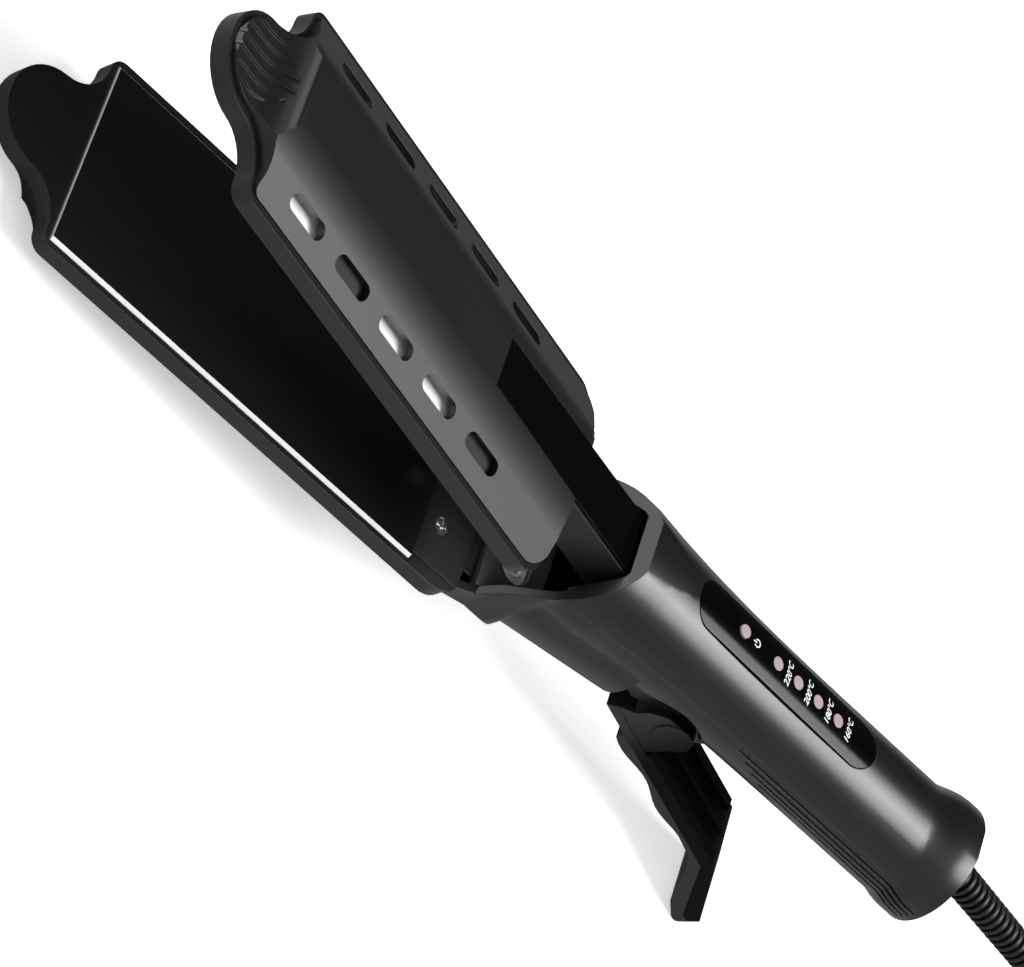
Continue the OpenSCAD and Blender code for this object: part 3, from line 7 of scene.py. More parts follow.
import bmesh
import bpy
from mathutils import Matrix, Vector
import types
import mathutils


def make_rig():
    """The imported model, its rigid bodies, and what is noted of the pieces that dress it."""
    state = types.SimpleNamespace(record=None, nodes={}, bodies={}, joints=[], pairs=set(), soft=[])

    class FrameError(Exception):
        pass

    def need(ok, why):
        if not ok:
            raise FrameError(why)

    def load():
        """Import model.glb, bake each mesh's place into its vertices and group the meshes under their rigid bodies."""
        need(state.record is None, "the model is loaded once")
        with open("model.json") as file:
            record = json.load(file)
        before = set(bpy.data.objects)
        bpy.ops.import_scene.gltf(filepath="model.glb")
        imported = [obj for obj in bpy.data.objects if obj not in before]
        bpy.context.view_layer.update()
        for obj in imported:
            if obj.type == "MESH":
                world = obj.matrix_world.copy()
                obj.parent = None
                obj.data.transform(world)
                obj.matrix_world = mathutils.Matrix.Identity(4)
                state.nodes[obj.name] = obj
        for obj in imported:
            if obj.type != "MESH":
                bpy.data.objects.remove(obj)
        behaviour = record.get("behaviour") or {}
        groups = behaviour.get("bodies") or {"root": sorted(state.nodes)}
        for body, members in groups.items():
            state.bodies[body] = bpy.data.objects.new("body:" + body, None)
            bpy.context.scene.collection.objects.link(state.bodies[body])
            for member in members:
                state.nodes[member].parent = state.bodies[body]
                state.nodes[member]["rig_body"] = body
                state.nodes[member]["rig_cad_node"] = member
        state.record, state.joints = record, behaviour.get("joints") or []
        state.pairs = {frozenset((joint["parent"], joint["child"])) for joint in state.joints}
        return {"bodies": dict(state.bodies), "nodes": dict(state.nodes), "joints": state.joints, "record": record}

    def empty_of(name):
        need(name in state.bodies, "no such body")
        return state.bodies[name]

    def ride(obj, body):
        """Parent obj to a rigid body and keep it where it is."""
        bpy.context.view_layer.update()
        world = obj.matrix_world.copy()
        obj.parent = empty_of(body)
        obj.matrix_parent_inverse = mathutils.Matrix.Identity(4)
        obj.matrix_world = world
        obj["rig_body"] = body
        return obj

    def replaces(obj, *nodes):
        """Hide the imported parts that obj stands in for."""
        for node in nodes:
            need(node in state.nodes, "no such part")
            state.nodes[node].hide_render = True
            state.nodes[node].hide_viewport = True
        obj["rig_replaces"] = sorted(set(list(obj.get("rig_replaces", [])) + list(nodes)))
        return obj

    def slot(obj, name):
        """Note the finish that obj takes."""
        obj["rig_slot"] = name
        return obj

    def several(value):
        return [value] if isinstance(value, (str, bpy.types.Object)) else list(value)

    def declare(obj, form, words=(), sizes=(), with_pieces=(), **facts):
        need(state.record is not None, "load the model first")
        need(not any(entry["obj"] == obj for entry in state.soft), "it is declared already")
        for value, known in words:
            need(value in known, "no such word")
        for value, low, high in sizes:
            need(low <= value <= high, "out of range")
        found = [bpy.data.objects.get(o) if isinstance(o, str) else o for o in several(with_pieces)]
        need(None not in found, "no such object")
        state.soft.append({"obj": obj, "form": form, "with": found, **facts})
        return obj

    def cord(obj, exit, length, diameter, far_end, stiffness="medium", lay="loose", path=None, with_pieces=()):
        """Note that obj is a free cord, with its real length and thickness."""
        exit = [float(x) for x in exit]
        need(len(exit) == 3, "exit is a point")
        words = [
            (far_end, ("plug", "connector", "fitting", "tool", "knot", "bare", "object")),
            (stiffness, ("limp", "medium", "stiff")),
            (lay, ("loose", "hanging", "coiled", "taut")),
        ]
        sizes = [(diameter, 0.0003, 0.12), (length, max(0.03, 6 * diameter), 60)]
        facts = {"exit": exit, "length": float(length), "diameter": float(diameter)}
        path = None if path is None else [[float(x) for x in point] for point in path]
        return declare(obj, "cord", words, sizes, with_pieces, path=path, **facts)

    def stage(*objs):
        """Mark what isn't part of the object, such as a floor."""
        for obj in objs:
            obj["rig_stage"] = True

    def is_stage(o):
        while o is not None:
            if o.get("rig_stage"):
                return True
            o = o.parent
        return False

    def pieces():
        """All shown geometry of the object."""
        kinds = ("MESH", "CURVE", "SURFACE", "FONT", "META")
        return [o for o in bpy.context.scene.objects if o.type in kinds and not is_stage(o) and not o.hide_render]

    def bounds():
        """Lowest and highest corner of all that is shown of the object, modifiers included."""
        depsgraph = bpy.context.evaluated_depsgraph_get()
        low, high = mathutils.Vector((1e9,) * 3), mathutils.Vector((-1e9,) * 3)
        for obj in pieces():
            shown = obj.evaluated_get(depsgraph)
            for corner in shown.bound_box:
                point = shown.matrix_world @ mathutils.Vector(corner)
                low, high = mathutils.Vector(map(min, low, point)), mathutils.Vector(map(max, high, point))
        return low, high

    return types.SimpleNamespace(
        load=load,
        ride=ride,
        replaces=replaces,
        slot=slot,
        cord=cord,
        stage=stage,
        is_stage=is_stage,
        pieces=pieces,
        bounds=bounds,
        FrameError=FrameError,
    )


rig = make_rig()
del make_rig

for leftover in list(bpy.data.objects):
    bpy.data.objects.remove(leftover)
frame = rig.load()
CAD_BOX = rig.bounds()

bl_info = {
    "name": "Hair Straightener",
    "version": (1, 0, 0),
    "blender": (4, 5, 0),
    "location": "View3D > Sidebar > Straightener",
    "description": "Dresses the straightener with its finishes, lead and stage",
    "category": "Object",
}

MM = 0.001


# Axes of the iron's parts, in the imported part's frame


def shift(x, y, z):
    return Matrix.Translation(Vector((x, y, z)) * MM)


def tilt(degrees):
    return Matrix.Rotation(math.radians(degrees), 4, "Y")


STOOD = shift(-152.343, 0, 12.1059) @ tilt(-8.78516)
HINGE = (196, 0, -4.5)
SWUNG = STOOD @ shift(*HINGE) @ tilt(13.5) @ shift(-196, 0, 4.5)
PANEL = STOOD @ shift(196, 0, 26.9) @ tilt(1.5)
RELIEF = STOOD @ shift(263.7, 0, 16.2) @ tilt(8.8)
LOWER = STOOD @ Matrix.Scale(-1, 4, (0, 0, 1))

# Route of the lead: from the relief down to the coil, and from the coil to the plug
DROP = [
    (171, 0, 68.4), (179, 0, 68.4), (188.7, -0.7, 67.6), (196.6, -2.6, 65.5), (203.1, -5.6, 62.4),
    (208.5, -9.2, 58.5), (213.1, -13.4, 54.2), (217.2, -17.8, 49.7), (221.3, -22.2, 45.3), (225.5, -26.3, 41.4),
]
TAIL = [
    (0, 0, 0), (-6.6, 0, 0), (-13.1, 0, 0.1), (-19.7, 0, 0.4), (-26.2, 0, 0.8), (-32.8, 0, 1.3),
    (-39, -0.8, 1.9), (-44.8, -3.2, 2.4), (-49.8, -7, 2.8), (-53.6, -12, 3), (-56, -17.8, 3.1), (-56.8, -24, 3.1),
]
COIL_AT, COIL_R, COIL_PITCH, COIL_TURNS, COIL_LAYERS = (252, 0, 3.9), 23.9, 6.1, 2.15, 4
# Side where the lead comes onto the coil, its height over the top layer there and the turns that it takes to land
COIL_FROM, COIL_LIFT, COIL_LAND = -126, 16, 0.3
PLUG_AT = (195.2, 13.015, 7)

# The camera's place in metres, its axes and its focal length in millimetres
CAMERA_AT = (-0.80768, -0.75271, 0.78551)
CAMERA_RIGHT, CAMERA_UP = Vector((0.524618, 0.261696, 0.809819)), Vector((-0.613866, 0.774968, 0.147301))
CAMERA_LENS = 219.19
FLOOR_HALF, FLOOR_LOW = 30, -0.0002

# Scales of the fine grain in moulded plastic and of its broad unevenness, and the depth of that grain
GRAIN, DRIFT, GRAIN_DEPTH = 5200, 22, 0.012 * MM


class StraightenerSizes(bpy.types.PropertyGroup):
    """Sizes of the details that are added to the part's solids."""

    moulded_edge: bpy.props.FloatProperty(
        name="Moulded edge", description="Rounding along the edges of moulded plastic",
        default=0.3 * MM, min=0, max=1 * MM, unit="LENGTH", precision=5)
    fine_edge: bpy.props.FloatProperty(
        name="Fine edge", description="Rounding along the edges of small fitted parts",
        default=0.15 * MM, min=0, max=0.5 * MM, unit="LENGTH", precision=5)
    smooth_angle: bpy.props.FloatProperty(
        name="Smooth angle", description="Angle below which two faces shade as one surface",
        default=math.radians(32), min=0, max=math.pi, subtype="ANGLE")
    lead_diameter: bpy.props.FloatProperty(
        name="Lead diameter", description="Outside diameter of the mains lead",
        default=5.6 * MM, min=4 * MM, max=7 * MM, unit="LENGTH", precision=4)
    lead_length: bpy.props.FloatProperty(
        name="Lead length", description="Length of the mains lead from the relief to the plug",
        default=1.8, min=1, max=3, unit="LENGTH")
    rib_count: bpy.props.IntProperty(
        name="Relief ribs", description="Rings along the strain relief", default=27, min=5, max=40)
    figure_height: bpy.props.FloatProperty(
        name="Figure height", description="Height of the printed temperatures",
        default=2.3 * MM, min=1 * MM, max=4 * MM, unit="LENGTH", precision=4)


class StraightenerColours(bpy.types.PropertyGroup):
    """Colours of the finishes."""

    shell: bpy.props.FloatVectorProperty(
        name="Handle plastic", description="Satin plastic of the handle",
        default=(0.0062, 0.0062, 0.0068), size=3, min=0, max=1, subtype="COLOR")
    jaw: bpy.props.FloatVectorProperty(
        name="Jaw plastic", description="Satin plastic of the jaws",
        default=(0.0052, 0.0052, 0.0056), size=3, min=0, max=1, subtype="COLOR")
    gloss: bpy.props.FloatVectorProperty(
        name="Gloss black", description="Gloss plastic of the panel and the arm's inlay",
        default=(0.0008, 0.0008, 0.001), size=3, min=0, max=1, subtype="COLOR")
    coating: bpy.props.FloatVectorProperty(
        name="Plate coating", description="Ceramic coating of the heating plates",
        default=(0.006, 0.006, 0.0065), size=3, min=0, max=1, subtype="COLOR")
    aluminium: bpy.props.FloatVectorProperty(
        name="Aluminium", description="Bare aluminium of the plate edges and heat shields",
        default=(0.92, 0.92, 0.93), size=3, min=0, max=1, subtype="COLOR")
    steel: bpy.props.FloatVectorProperty(
        name="Steel", description="Screws, pins and springs",
        default=(0.56, 0.57, 0.58), size=3, min=0, max=1, subtype="COLOR")
    rubber: bpy.props.FloatVectorProperty(
        name="Rubber", description="Jacket of the lead, its relief and its plug",
        default=(0.003, 0.003, 0.0034), size=3, min=0, max=1, subtype="COLOR")
    lens: bpy.props.FloatVectorProperty(
        name="Lens", description="Frosted lenses and the power button",
        default=(0.36, 0.29, 0.295), size=3, min=0, max=1, subtype="COLOR")
    print: bpy.props.FloatVectorProperty(
        name="Print", description="Printed temperatures on the panel",
        default=(0.82, 0.82, 0.80), size=3, min=0, max=1, subtype="COLOR")


class StraightenerStage(bpy.types.PropertyGroup):
    """Floor, background and lamps."""

    floor: bpy.props.FloatVectorProperty(
        name="Floor", description="Colour of the plain floor",
        default=(0.93, 0.93, 0.93), size=3, min=0, max=1, subtype="COLOR")
    key: bpy.props.FloatProperty(
        name="Key lamp", description="Light that draws the stripe along the handle",
        default=2.3, min=0, max=8)
    flank: bpy.props.FloatProperty(
        name="Flank lamp", description="Light on the sloping flanks of the jaws", default=1.6, min=0, max=5)
    fill: bpy.props.FloatProperty(
        name="Fill lamp", description="Soft light from the camera's left", default=0.4, min=0, max=5)
    rim: bpy.props.FloatProperty(
        name="Rim lamp", description="Light from behind the noses on the mouth's lip", default=1.5, min=0, max=5)
    horizon: bpy.props.FloatProperty(
        name="Horizon", description="Brightness of the room towards the near side", default=0.5, min=0, max=2)
    ceiling: bpy.props.FloatProperty(
        name="Ceiling", description="Brightness of the rest of the room", default=0.05, min=0, max=1)


def sizes():
    return bpy.context.scene.straightener_sizes


def colours():
    return bpy.context.scene.straightener_colours


# Shader building


class Signal:
    """A shader value that plain arithmetic works on."""

    def __init__(self, finish, out):
        self.finish = finish
        self.out = out

    def math(self, kind, other=0.0):
        return self.finish.node("ShaderNodeMath", {"operation": kind}, {0: self, 1: other})

    def __add__(self, other):
        return self.math("ADD", other)

    def __sub__(self, other):
        return self.math("SUBTRACT", other)

    def __mul__(self, other):
        return self.math("MULTIPLY", other)

    def __truediv__(self, other):
        return self.math("DIVIDE", other)

    def between(self, low, high):
        """0 below low, 1 above high, and smooth from one to the other."""
        return self.finish.node(
            "ShaderNodeMapRange", {"interpolation_type": "SMOOTHSTEP"},
            {"Value": self, "From Min": low, "From Max": high})


class Finish:
    """One material's node tree."""

    def __init__(self, name, tree=None):
        if tree is None:
            self.material = bpy.data.materials.new(name)
            self.material.use_nodes = True
            tree = self.material.node_tree
        self.tree = tree
        self.tree.nodes.clear()

    def node(self, kind, settings=None, sockets=None, out=0):
        made = self.tree.nodes.new(kind)
        for key, value in (settings or {}).items():
            setattr(made, key, value)
        for key, value in (sockets or {}).items():
            if isinstance(value, Signal):
                self.tree.links.new(value.out, made.inputs[key])
            elif made.inputs[key].type == "RGBA" and len(value) == 3:
                made.inputs[key].default_value = (*value, 1)
            else:
                made.inputs[key].default_value = value
        return Signal(self, made.outputs[out]) if len(made.outputs) else made

    def place(self, stretch=None):
        """The piece's own place, stretched if asked."""
        at = self.node("ShaderNodeTexCoord", out="Object")
        return self.node("ShaderNodeMapping", {}, {"Vector": at, "Scale": stretch}) if stretch else at

    def axis(self, letter):
        """One coordinate of the piece's own place."""
        return self.node("ShaderNodeSeparateXYZ", {}, {0: self.place()}, out=letter)

    def marked(self, name):
        """What a face attribute says."""
        return self.node("ShaderNodeAttribute", {"attribute_name": name}, out="Fac")

    def noise(self, scale, detail=2.0, at=None):
        return self.node(
            "ShaderNodeTexNoise", {}, {"Vector": at or self.place(), "Scale": scale, "Detail": detail}, out="Fac")

    def mix(self, factor, first, second):
        mixed = self.node("ShaderNodeMix", {"data_type": "RGBA"}, {"Factor": factor})
        made = mixed.out.node
        for key, value in ((6, first), (7, second)):
            if isinstance(value, Signal):
                self.tree.links.new(value.out, made.inputs[key])
            else:
                made.inputs[key].default_value = (*value, 1)
        return Signal(self, made.outputs[2])

    def rounded(self, radius):
        """Normal that rounds sharp edges off by a radius."""
        return self.node("ShaderNodeBevel", {"samples": 4}, {"Radius": radius})

    def bump(self, height, distance, strength=1.0, normal=None):
        sockets = {"Height": height, "Distance": distance, "Strength": strength}
        if normal:
            sockets["Normal"] = normal
        return self.node("ShaderNodeBump", {}, sockets)

    def close(self, **sockets):
        """Ends the tree in one Principled shader."""
        named = {key.replace("_", " "): value for key, value in sockets.items()}
        shader = self.node("ShaderNodeBsdfPrincipled", {}, named)
        self.node("ShaderNodeOutputMaterial", {}, {"Surface": shader})
        return self.material


def shade(colour, amount):
    """The same colour, lighter above 1 and darker below it."""
    return tuple(max(0.0, min(1.0, c * amount)) for c in colour)


FINISHES = {}


def finish(name):
    if name not in FINISHES:
        FINISHES[name] = globals()["make_" + name](name)
    return FINISHES[name]


def satin(name, colour, roughness, edge, grain, level=0.5):
    """Moulded plastic with a fine spark-eroded grain and softly rounded edges."""
    f = Finish(name)
    fine = f.noise(GRAIN)
    broad = f.noise(DRIFT, 3.0)
    cloud = f.noise(180, 2.0)
    base = f.mix(broad * 0.7 + cloud * 0.3, shade(colour, 0.86), shade(colour, 1.16))
    return f.close(
        Base_Color=base, Roughness=(broad - 0.5) * 0.05 + (fine - 0.5) * 0.04 + roughness,
        Specular_IOR_Level=level, Normal=f.bump(fine, grain, 0.35, f.rounded(edge)))


def make_satin_shell(name):
    return satin(name, colours().shell, 0.33, 0.25 * MM, GRAIN_DEPTH)


def make_satin_jaw(name):
    return satin(name, colours().jaw, 0.37, 0.25 * MM, GRAIN_DEPTH)


def vented_cover(name, axes):
    """Satin plastic that shades the step from flank to back as one soft curve."""
    flat_half, curve_width, flank_slope = 6.0, 9.0, 0.333
    f = Finish(name)
    fine = f.noise(GRAIN)
    broad = f.noise(DRIFT, 3.0)
    upward = axes.to_3x3() @ Vector((0, 0, 1))
    side = f.axis("Y")
    curve = (side.math("ABSOLUTE") / MM - flat_half).math("MAXIMUM", 0.0).math("MINIMUM", curve_width)
    lean = curve * side.math("SIGN") * (flank_slope / curve_width)
    soft = f.node("ShaderNodeCombineXYZ", {}, {0: upward.x, 1: lean, 2: upward.z})
    soft = f.node(
        "ShaderNodeVectorTransform", {"vector_type": "NORMAL", "convert_from": "OBJECT", "convert_to": "WORLD"},
        {0: soft})
    flank = f.marked("flank")
    plain = f.rounded(0.25 * MM)
    change = f.node("ShaderNodeVectorMath", {"operation": "SUBTRACT"}, {0: soft, 1: plain})
    eased = f.node("ShaderNodeVectorMath", {"operation": "MULTIPLY_ADD"}, {0: change, 1: flank, 2: plain})
    base = f.mix(broad, shade(colours().jaw, 0.86), shade(colours().jaw, 1.16))
    return f.close(
        Base_Color=base, Roughness=(broad - 0.5) * 0.05 + (fine - 0.5) * 0.04 + 0.37,
        Specular_IOR_Level=0.5, Normal=f.bump(fine, GRAIN_DEPTH, 0.35, eased))


def make_upper_cover(name):
    return vented_cover(name, SWUNG)


def make_lower_cover(name):
    return vented_cover(name, LOWER)


def make_bright_shield(name):
    """Rolled aluminium behind the vents, matt enough to catch the light."""
    f = Finish(name)
    streak = f.noise(900, 3.0, f.place((0.015, 1, 1)))
    return f.close(
        Base_Color=f.mix(streak, (0.88, 0.88, 0.88), (0.96, 0.96, 0.96)), Metallic=0.05,
        Roughness=streak * 0.14 + 0.35, Normal=f.bump(streak, 0.01 * MM, 0.4))


def make_satin_lever(name):
    return satin(name, colours().shell, 0.4, 0.3 * MM, 0.014 * MM, 0.4)


def make_arm_black(name):
    """Satin arm, a little lighter than the handle's plastic as painted light, that turns behind the hinge into a
    near-black, barely reflective core: painted shade where the lever lies in the handle's shadow.
    """
    arm_end, core_start = 30 * MM, 50 * MM
    f = Finish(name)
    fine = f.noise(GRAIN)
    broad = f.noise(DRIFT, 3.0)
    far = f.axis("X").between(arm_end, core_start)
    grain = f.bump(fine, GRAIN_DEPTH, 0.35, f.rounded(0.3 * MM))
    # The arm: the handle's satin lifted a little, painted light on the arm's side.
    arm = f.node("ShaderNodeBsdfPrincipled", {}, {
        "Base Color": f.mix(broad, shade(colours().shell, 0.9), shade(colours().shell, 1.3)),
        "Roughness": fine * 0.05 + 0.36, "Specular IOR Level": 0.5, "Normal": grain})
    # The lever's core: near-black and barely reflective, a painted shade under the handle.
    core = f.node("ShaderNodeBsdfPrincipled", {}, {
        "Base Color": f.mix(broad, (0.0004, 0.0004, 0.0004), (0.001, 0.001, 0.001)),
        "Roughness": fine * 0.06 + 0.5, "Specular IOR Level": 0.06, "Normal": grain})
    both = f.node("ShaderNodeMixShader", {}, {0: far, 1: arm, 2: core})
    f.node("ShaderNodeOutputMaterial", {}, {"Surface": both})
    return f.material


def make_deck_grey(name):
    return satin(name, (0.045, 0.045, 0.047), 0.42, 0.2 * MM, 0.015 * MM)


def make_heat_black(name):
    return satin(name, (0.008, 0.008, 0.0085), 0.42, 0.2 * MM, 0.02 * MM, 0.4)


def make_gloss_black(name):
    f = Finish(name)
    wave = f.noise(60, 2.0)
    dust = f.noise(900, 4.0)
    return f.close(
        Base_Color=f.mix(dust, colours().gloss, shade(colours().gloss, 1.5)),
        Roughness=dust * 0.04 + 0.14, Specular_IOR_Level=0.16,
        Normal=f.bump(wave, 0.004 * MM, 0.3, f.rounded(0.15 * MM)))


def make_plate_coating(name):
    """Ceramic coating, with bare aluminium on the bevelled edges, pale and only partly metallic."""
    f = Finish(name)
    fine = f.noise(2600, 3.0)
    bare = f.marked("bare")
    brushed = f.noise(700, 2.0, f.place((0.02, 1, 1)))
    metal = f.mix(brushed, shade(colours().aluminium, 0.8), colours().aluminium)
    return f.close(
        Base_Color=f.mix(bare, f.mix(fine, colours().coating, shade(colours().coating, 1.6)), metal),
        Metallic=bare * 0.35, Roughness=bare * 0.2 + (fine - 0.5) * 0.03 + 0.12, Specular_IOR_Level=0.3,
        Normal=f.bump(fine, 0.003 * MM, 0.4))


def make_bare_aluminium(name):
    f = Finish(name)
    streak = f.noise(900, 3.0, f.place((0.015, 1, 1)))
    blotch = f.noise(90, 2.0)
    return f.close(
        Base_Color=f.mix(streak, shade(colours().aluminium, 0.78), colours().aluminium),
        Metallic=1.0, Roughness=streak * 0.14 + blotch * 0.08 + 0.2,
        Normal=f.bump(streak, 0.01 * MM, 0.5, f.rounded(0.08 * MM)))


def turned_metal(name, colour, roughness):
    f = Finish(name)
    streak = f.noise(1400, 2.0, f.place((1, 1, 0.1)))
    return f.close(
        Base_Color=f.mix(streak, shade(colour, 0.82), colour), Metallic=1.0,
        Roughness=streak * 0.12 + roughness, Normal=f.bump(streak, 0.006 * MM, 0.4, f.rounded(0.06 * MM)))


def make_steel(name):
    return turned_metal(name, colours().steel, 0.22)


def make_spring_steel(name):
    return turned_metal(name, shade(colours().steel, 0.72), 0.28)


def make_pin_metal(name):
    return turned_metal(name, (0.63, 0.58, 0.47), 0.16)


def make_white_plastic(name):
    return satin(name, (0.72, 0.71, 0.68), 0.36, 0.12 * MM, 0.01 * MM)


def make_wire_white(name):
    return satin(name, (0.66, 0.64, 0.58), 0.5, 0.05 * MM, 0.02 * MM)


def make_component(name):
    return satin(name, (0.028, 0.045, 0.10), 0.45, 0.1 * MM, 0.01 * MM)


def make_silicone(name):
    return satin(name, (0.006, 0.006, 0.0065), 0.6, 0.1 * MM, 0.02 * MM, 0.3)


def make_rubber(name):
    """Soft lead jacket with a faint drawn texture and dust."""
    f = Finish(name)
    fine = f.noise(3200, 3.0)
    scuff = f.noise(150, 4.0)
    return f.close(
        Base_Color=f.mix(scuff.between(0.5, 0.8), colours().rubber, shade(colours().rubber, 2.2)),
        Roughness=scuff * 0.16 + fine * 0.08 + 0.34, Specular_IOR_Level=0.45,
        Normal=f.bump(fine, 0.015 * MM, 0.35, f.rounded(0.12 * MM)))


def make_lens(name):
    """Frosted lens, its tone varying with the frost."""
    f = Finish(name)
    frost = f.noise(1600, 3.0)
    return f.close(
        Base_Color=f.mix(frost, shade(colours().lens, 0.9), shade(colours().lens, 1.12)),
        Roughness=frost * 0.1 + 0.3, Specular_IOR_Level=0.5,
        Normal=f.bump(frost, 0.006 * MM, 0.3, f.rounded(0.1 * MM)))


def make_print(name):
    f = Finish(name)
    speck = f.noise(4000, 3.0)
    return f.close(
        Base_Color=f.mix(speck, shade(colours().print, 0.86), colours().print),
        Roughness=speck * 0.1 + 0.4, Specular_IOR_Level=0.4)


def make_board(name):
    """Green circuit board with faint copper tracks under the mask."""
    f = Finish(name)
    track = f.node("ShaderNodeTexBrick", {}, {
        "Vector": f.place((1, 1, 0)), "Scale": 260.0, "Mortar Size": 0.08, "Brick Width": 0.9, "Row Height": 0.3,
    }, out="Fac")
    speck = f.noise(700, 2.0)
    return f.close(
        Base_Color=f.mix(track * 0.7 + speck * 0.2, (0.008, 0.075, 0.026), (0.035, 0.17, 0.06)),
        Roughness=speck * 0.15 + 0.3, Normal=f.bump(track, 0.03 * MM, 0.5))


# Mesh building


def joined(node):
    """A part of the frame as one welded shape, its flat faces whole again."""
    shape = bmesh.new()
    shape.from_mesh(frame["nodes"][node].data)
    bmesh.ops.remove_doubles(shape, verts=shape.verts, dist=2e-6)
    bmesh.ops.dissolve_limit(shape, angle_limit=math.radians(0.2), verts=shape.verts, edges=shape.edges)
    return shape


def loft(shape, rings):
    """Joins rings of vertices to one closed skin."""
    for one, two in zip(rings, rings[1:]):
        for a, b, c, d in zip(one, one[1:] + one[:1], two[1:] + two[:1], two):
            shape.faces.new((a, b, c, d))
    shape.faces.new(rings[0][::-1])
    shape.faces.new(rings[-1])


def settle(name, shape, material, body, slot, nodes=(), angle=None):
    """Turns a shape into a piece with its finish, body and slot."""
    mesh = bpy.data.meshes.new(name)
    shape.to_mesh(mesh)
    shape.free()
    if "custom_normal" in mesh.attributes:
        mesh.attributes.remove(mesh.attributes["custom_normal"])
    mesh.shade_smooth()
    mesh.set_sharp_from_angle(angle=sizes().smooth_angle if angle is None else angle)
    mesh.materials.clear()
    mesh.materials.append(finish(material))
    piece = bpy.data.objects.new(name, mesh)
    bpy.context.scene.collection.objects.link(piece)
    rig.ride(piece, body)
    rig.slot(piece, slot)
    if nodes:
        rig.replaces(piece, *nodes)
    return piece


def dressed(node, name, material, body, slot, edge=0.0, angle=None):
    """A welded copy of a part, with its finish and rounded edges, in the part's place."""
    piece = settle(name, joined(node), material, body, slot, (node,), angle)
    if edge:
        soft = piece.modifiers.new("soft_edges", "BEVEL")
        soft.width = edge
        soft.segments = 2
        soft.limit_method = "ANGLE"
        soft.angle_limit = math.radians(30)
        soft.harden_normals = True
        soft.use_clamp_overlap = True
    return piece


def clothe(node, material):
    """Gives a part of the frame that stays as it is its finish."""
    part = frame["nodes"][node]
    for held in part.material_slots:
        held.material = finish(material)


def along(points, step):
    """Points a step apart on the smooth curve through the given ones."""
    made = []
    ends = [2 * points[0] - points[1], *points, 2 * points[-1] - points[-2]]
    for a, b, c, d in zip(ends, ends[1:], ends[2:], ends[3:]):
        count = max(1, round((c - b).length / step))
        for i in range(count):
            t = i / count
            straight = 2 * b + (c - a) * t
            made.append(0.5 * (straight + (2 * a - 5 * b + 4 * c - d) * t * t + (3 * b - a - 3 * c + d) * t ** 3))
    return made + [points[-1]]


def lead_route():
    """The lead's centreline in metres, from the relief through the coil to the plug."""
    step, steps_a_turn = 3 * MM, 48
    coil = []
    turns = COIL_LAYERS * COIL_TURNS
    count = round(steps_a_turn * turns)
    for i in range(count + 1):
        q = turns * i / count
        r = COIL_R + COIL_PITCH * abs(COIL_TURNS - q % (2 * COIL_TURNS))
        a = math.radians(360 * q + COIL_FROM)
        fallen = 0.0
        for layer in range(1, COIL_LAYERS):
            u = max(0.0, min(1.0, 2 * (q - layer * COIL_TURNS) + 0.5))
            fallen += u * u * (3 - 2 * u)
        rise = COIL_PITCH * (COIL_LAYERS - 1 - fallen) + COIL_LIFT * max(0.0, 1 - q / COIL_LAND) ** 2
        coil.append((Vector(COIL_AT) + Vector((r * math.cos(a), r * math.sin(a), rise))) * MM)
    end = Vector(COIL_AT) + Vector((0, COIL_R + COIL_TURNS * COIL_PITCH, 0))
    drop = along([Vector(p) * MM for p in DROP] + [coil[0]], step)
    tail = along([(end + Vector(p)) * MM for p in TAIL], step)
    return drop[:-1] + coil[:-1] + tail


# Geometry Nodes


class Growth:
    """A Geometry Nodes tree with named inputs."""

    def __init__(self, name, **inputs):
        self.tree = bpy.data.node_groups.new(name, "GeometryNodeTree")
        face = self.tree.interface
        face.new_socket("Geometry", in_out="INPUT", socket_type="NodeSocketGeometry")
        face.new_socket("Geometry", in_out="OUTPUT", socket_type="NodeSocketGeometry")
        self.inputs = inputs
        for key, (kind, _) in inputs.items():
            face.new_socket(key, in_out="INPUT", socket_type=kind)
        self.entry = self.tree.nodes.new("NodeGroupInput")
        self.exit = self.tree.nodes.new("NodeGroupOutput")

    def given(self, key):
        return self.entry.outputs[key]

    def node(self, kind, settings=None, sockets=None):
        made = self.tree.nodes.new(kind)
        for key, value in (settings or {}).items():
            setattr(made, key, value)
        for key, value in (sockets or {}).items():
            if isinstance(value, bpy.types.NodeSocket):
                self.tree.links.new(value, made.inputs[key])
            else:
                made.inputs[key].default_value = value
        return made

    def number(self, kind, first, second):
        return self.node("ShaderNodeMath", {"operation": kind}, {0: first, 1: second}).outputs[0]

    def join(self, *shapes):
        made = self.tree.nodes.new("GeometryNodeJoinGeometry")
        for shape in shapes:
            self.tree.links.new(shape, made.inputs[0])
        return made.outputs[0]

    def grow(self, seed_mesh, material):
        """Evaluates the tree on a seed mesh and returns the result as a plain mesh."""
        real = self.node("GeometryNodeRealizeInstances", {}, {"Geometry": self.last}).outputs[0]
        ended = self.node("GeometryNodeSetMaterial", {}, {"Geometry": real, "Material": finish(material)}).outputs[0]
        self.tree.links.new(ended, self.exit.inputs[0])
        seed = bpy.data.objects.new("seed", seed_mesh)
        bpy.context.scene.collection.objects.link(seed)
        grower = seed.modifiers.new("growth", "NODES")
        grower.node_group = self.tree
        for item in self.tree.interface.items_tree:
            if item.item_type == "SOCKET" and item.in_out == "INPUT" and item.name in self.inputs:
                grower[item.identifier] = self.inputs[item.name][1]
        bpy.context.view_layer.update()
        mesh = bpy.data.meshes.new_from_object(seed.evaluated_get(bpy.context.evaluated_depsgraph_get()))
        bpy.data.objects.remove(seed)
        return mesh


# Operators, one for each piece or group of like pieces


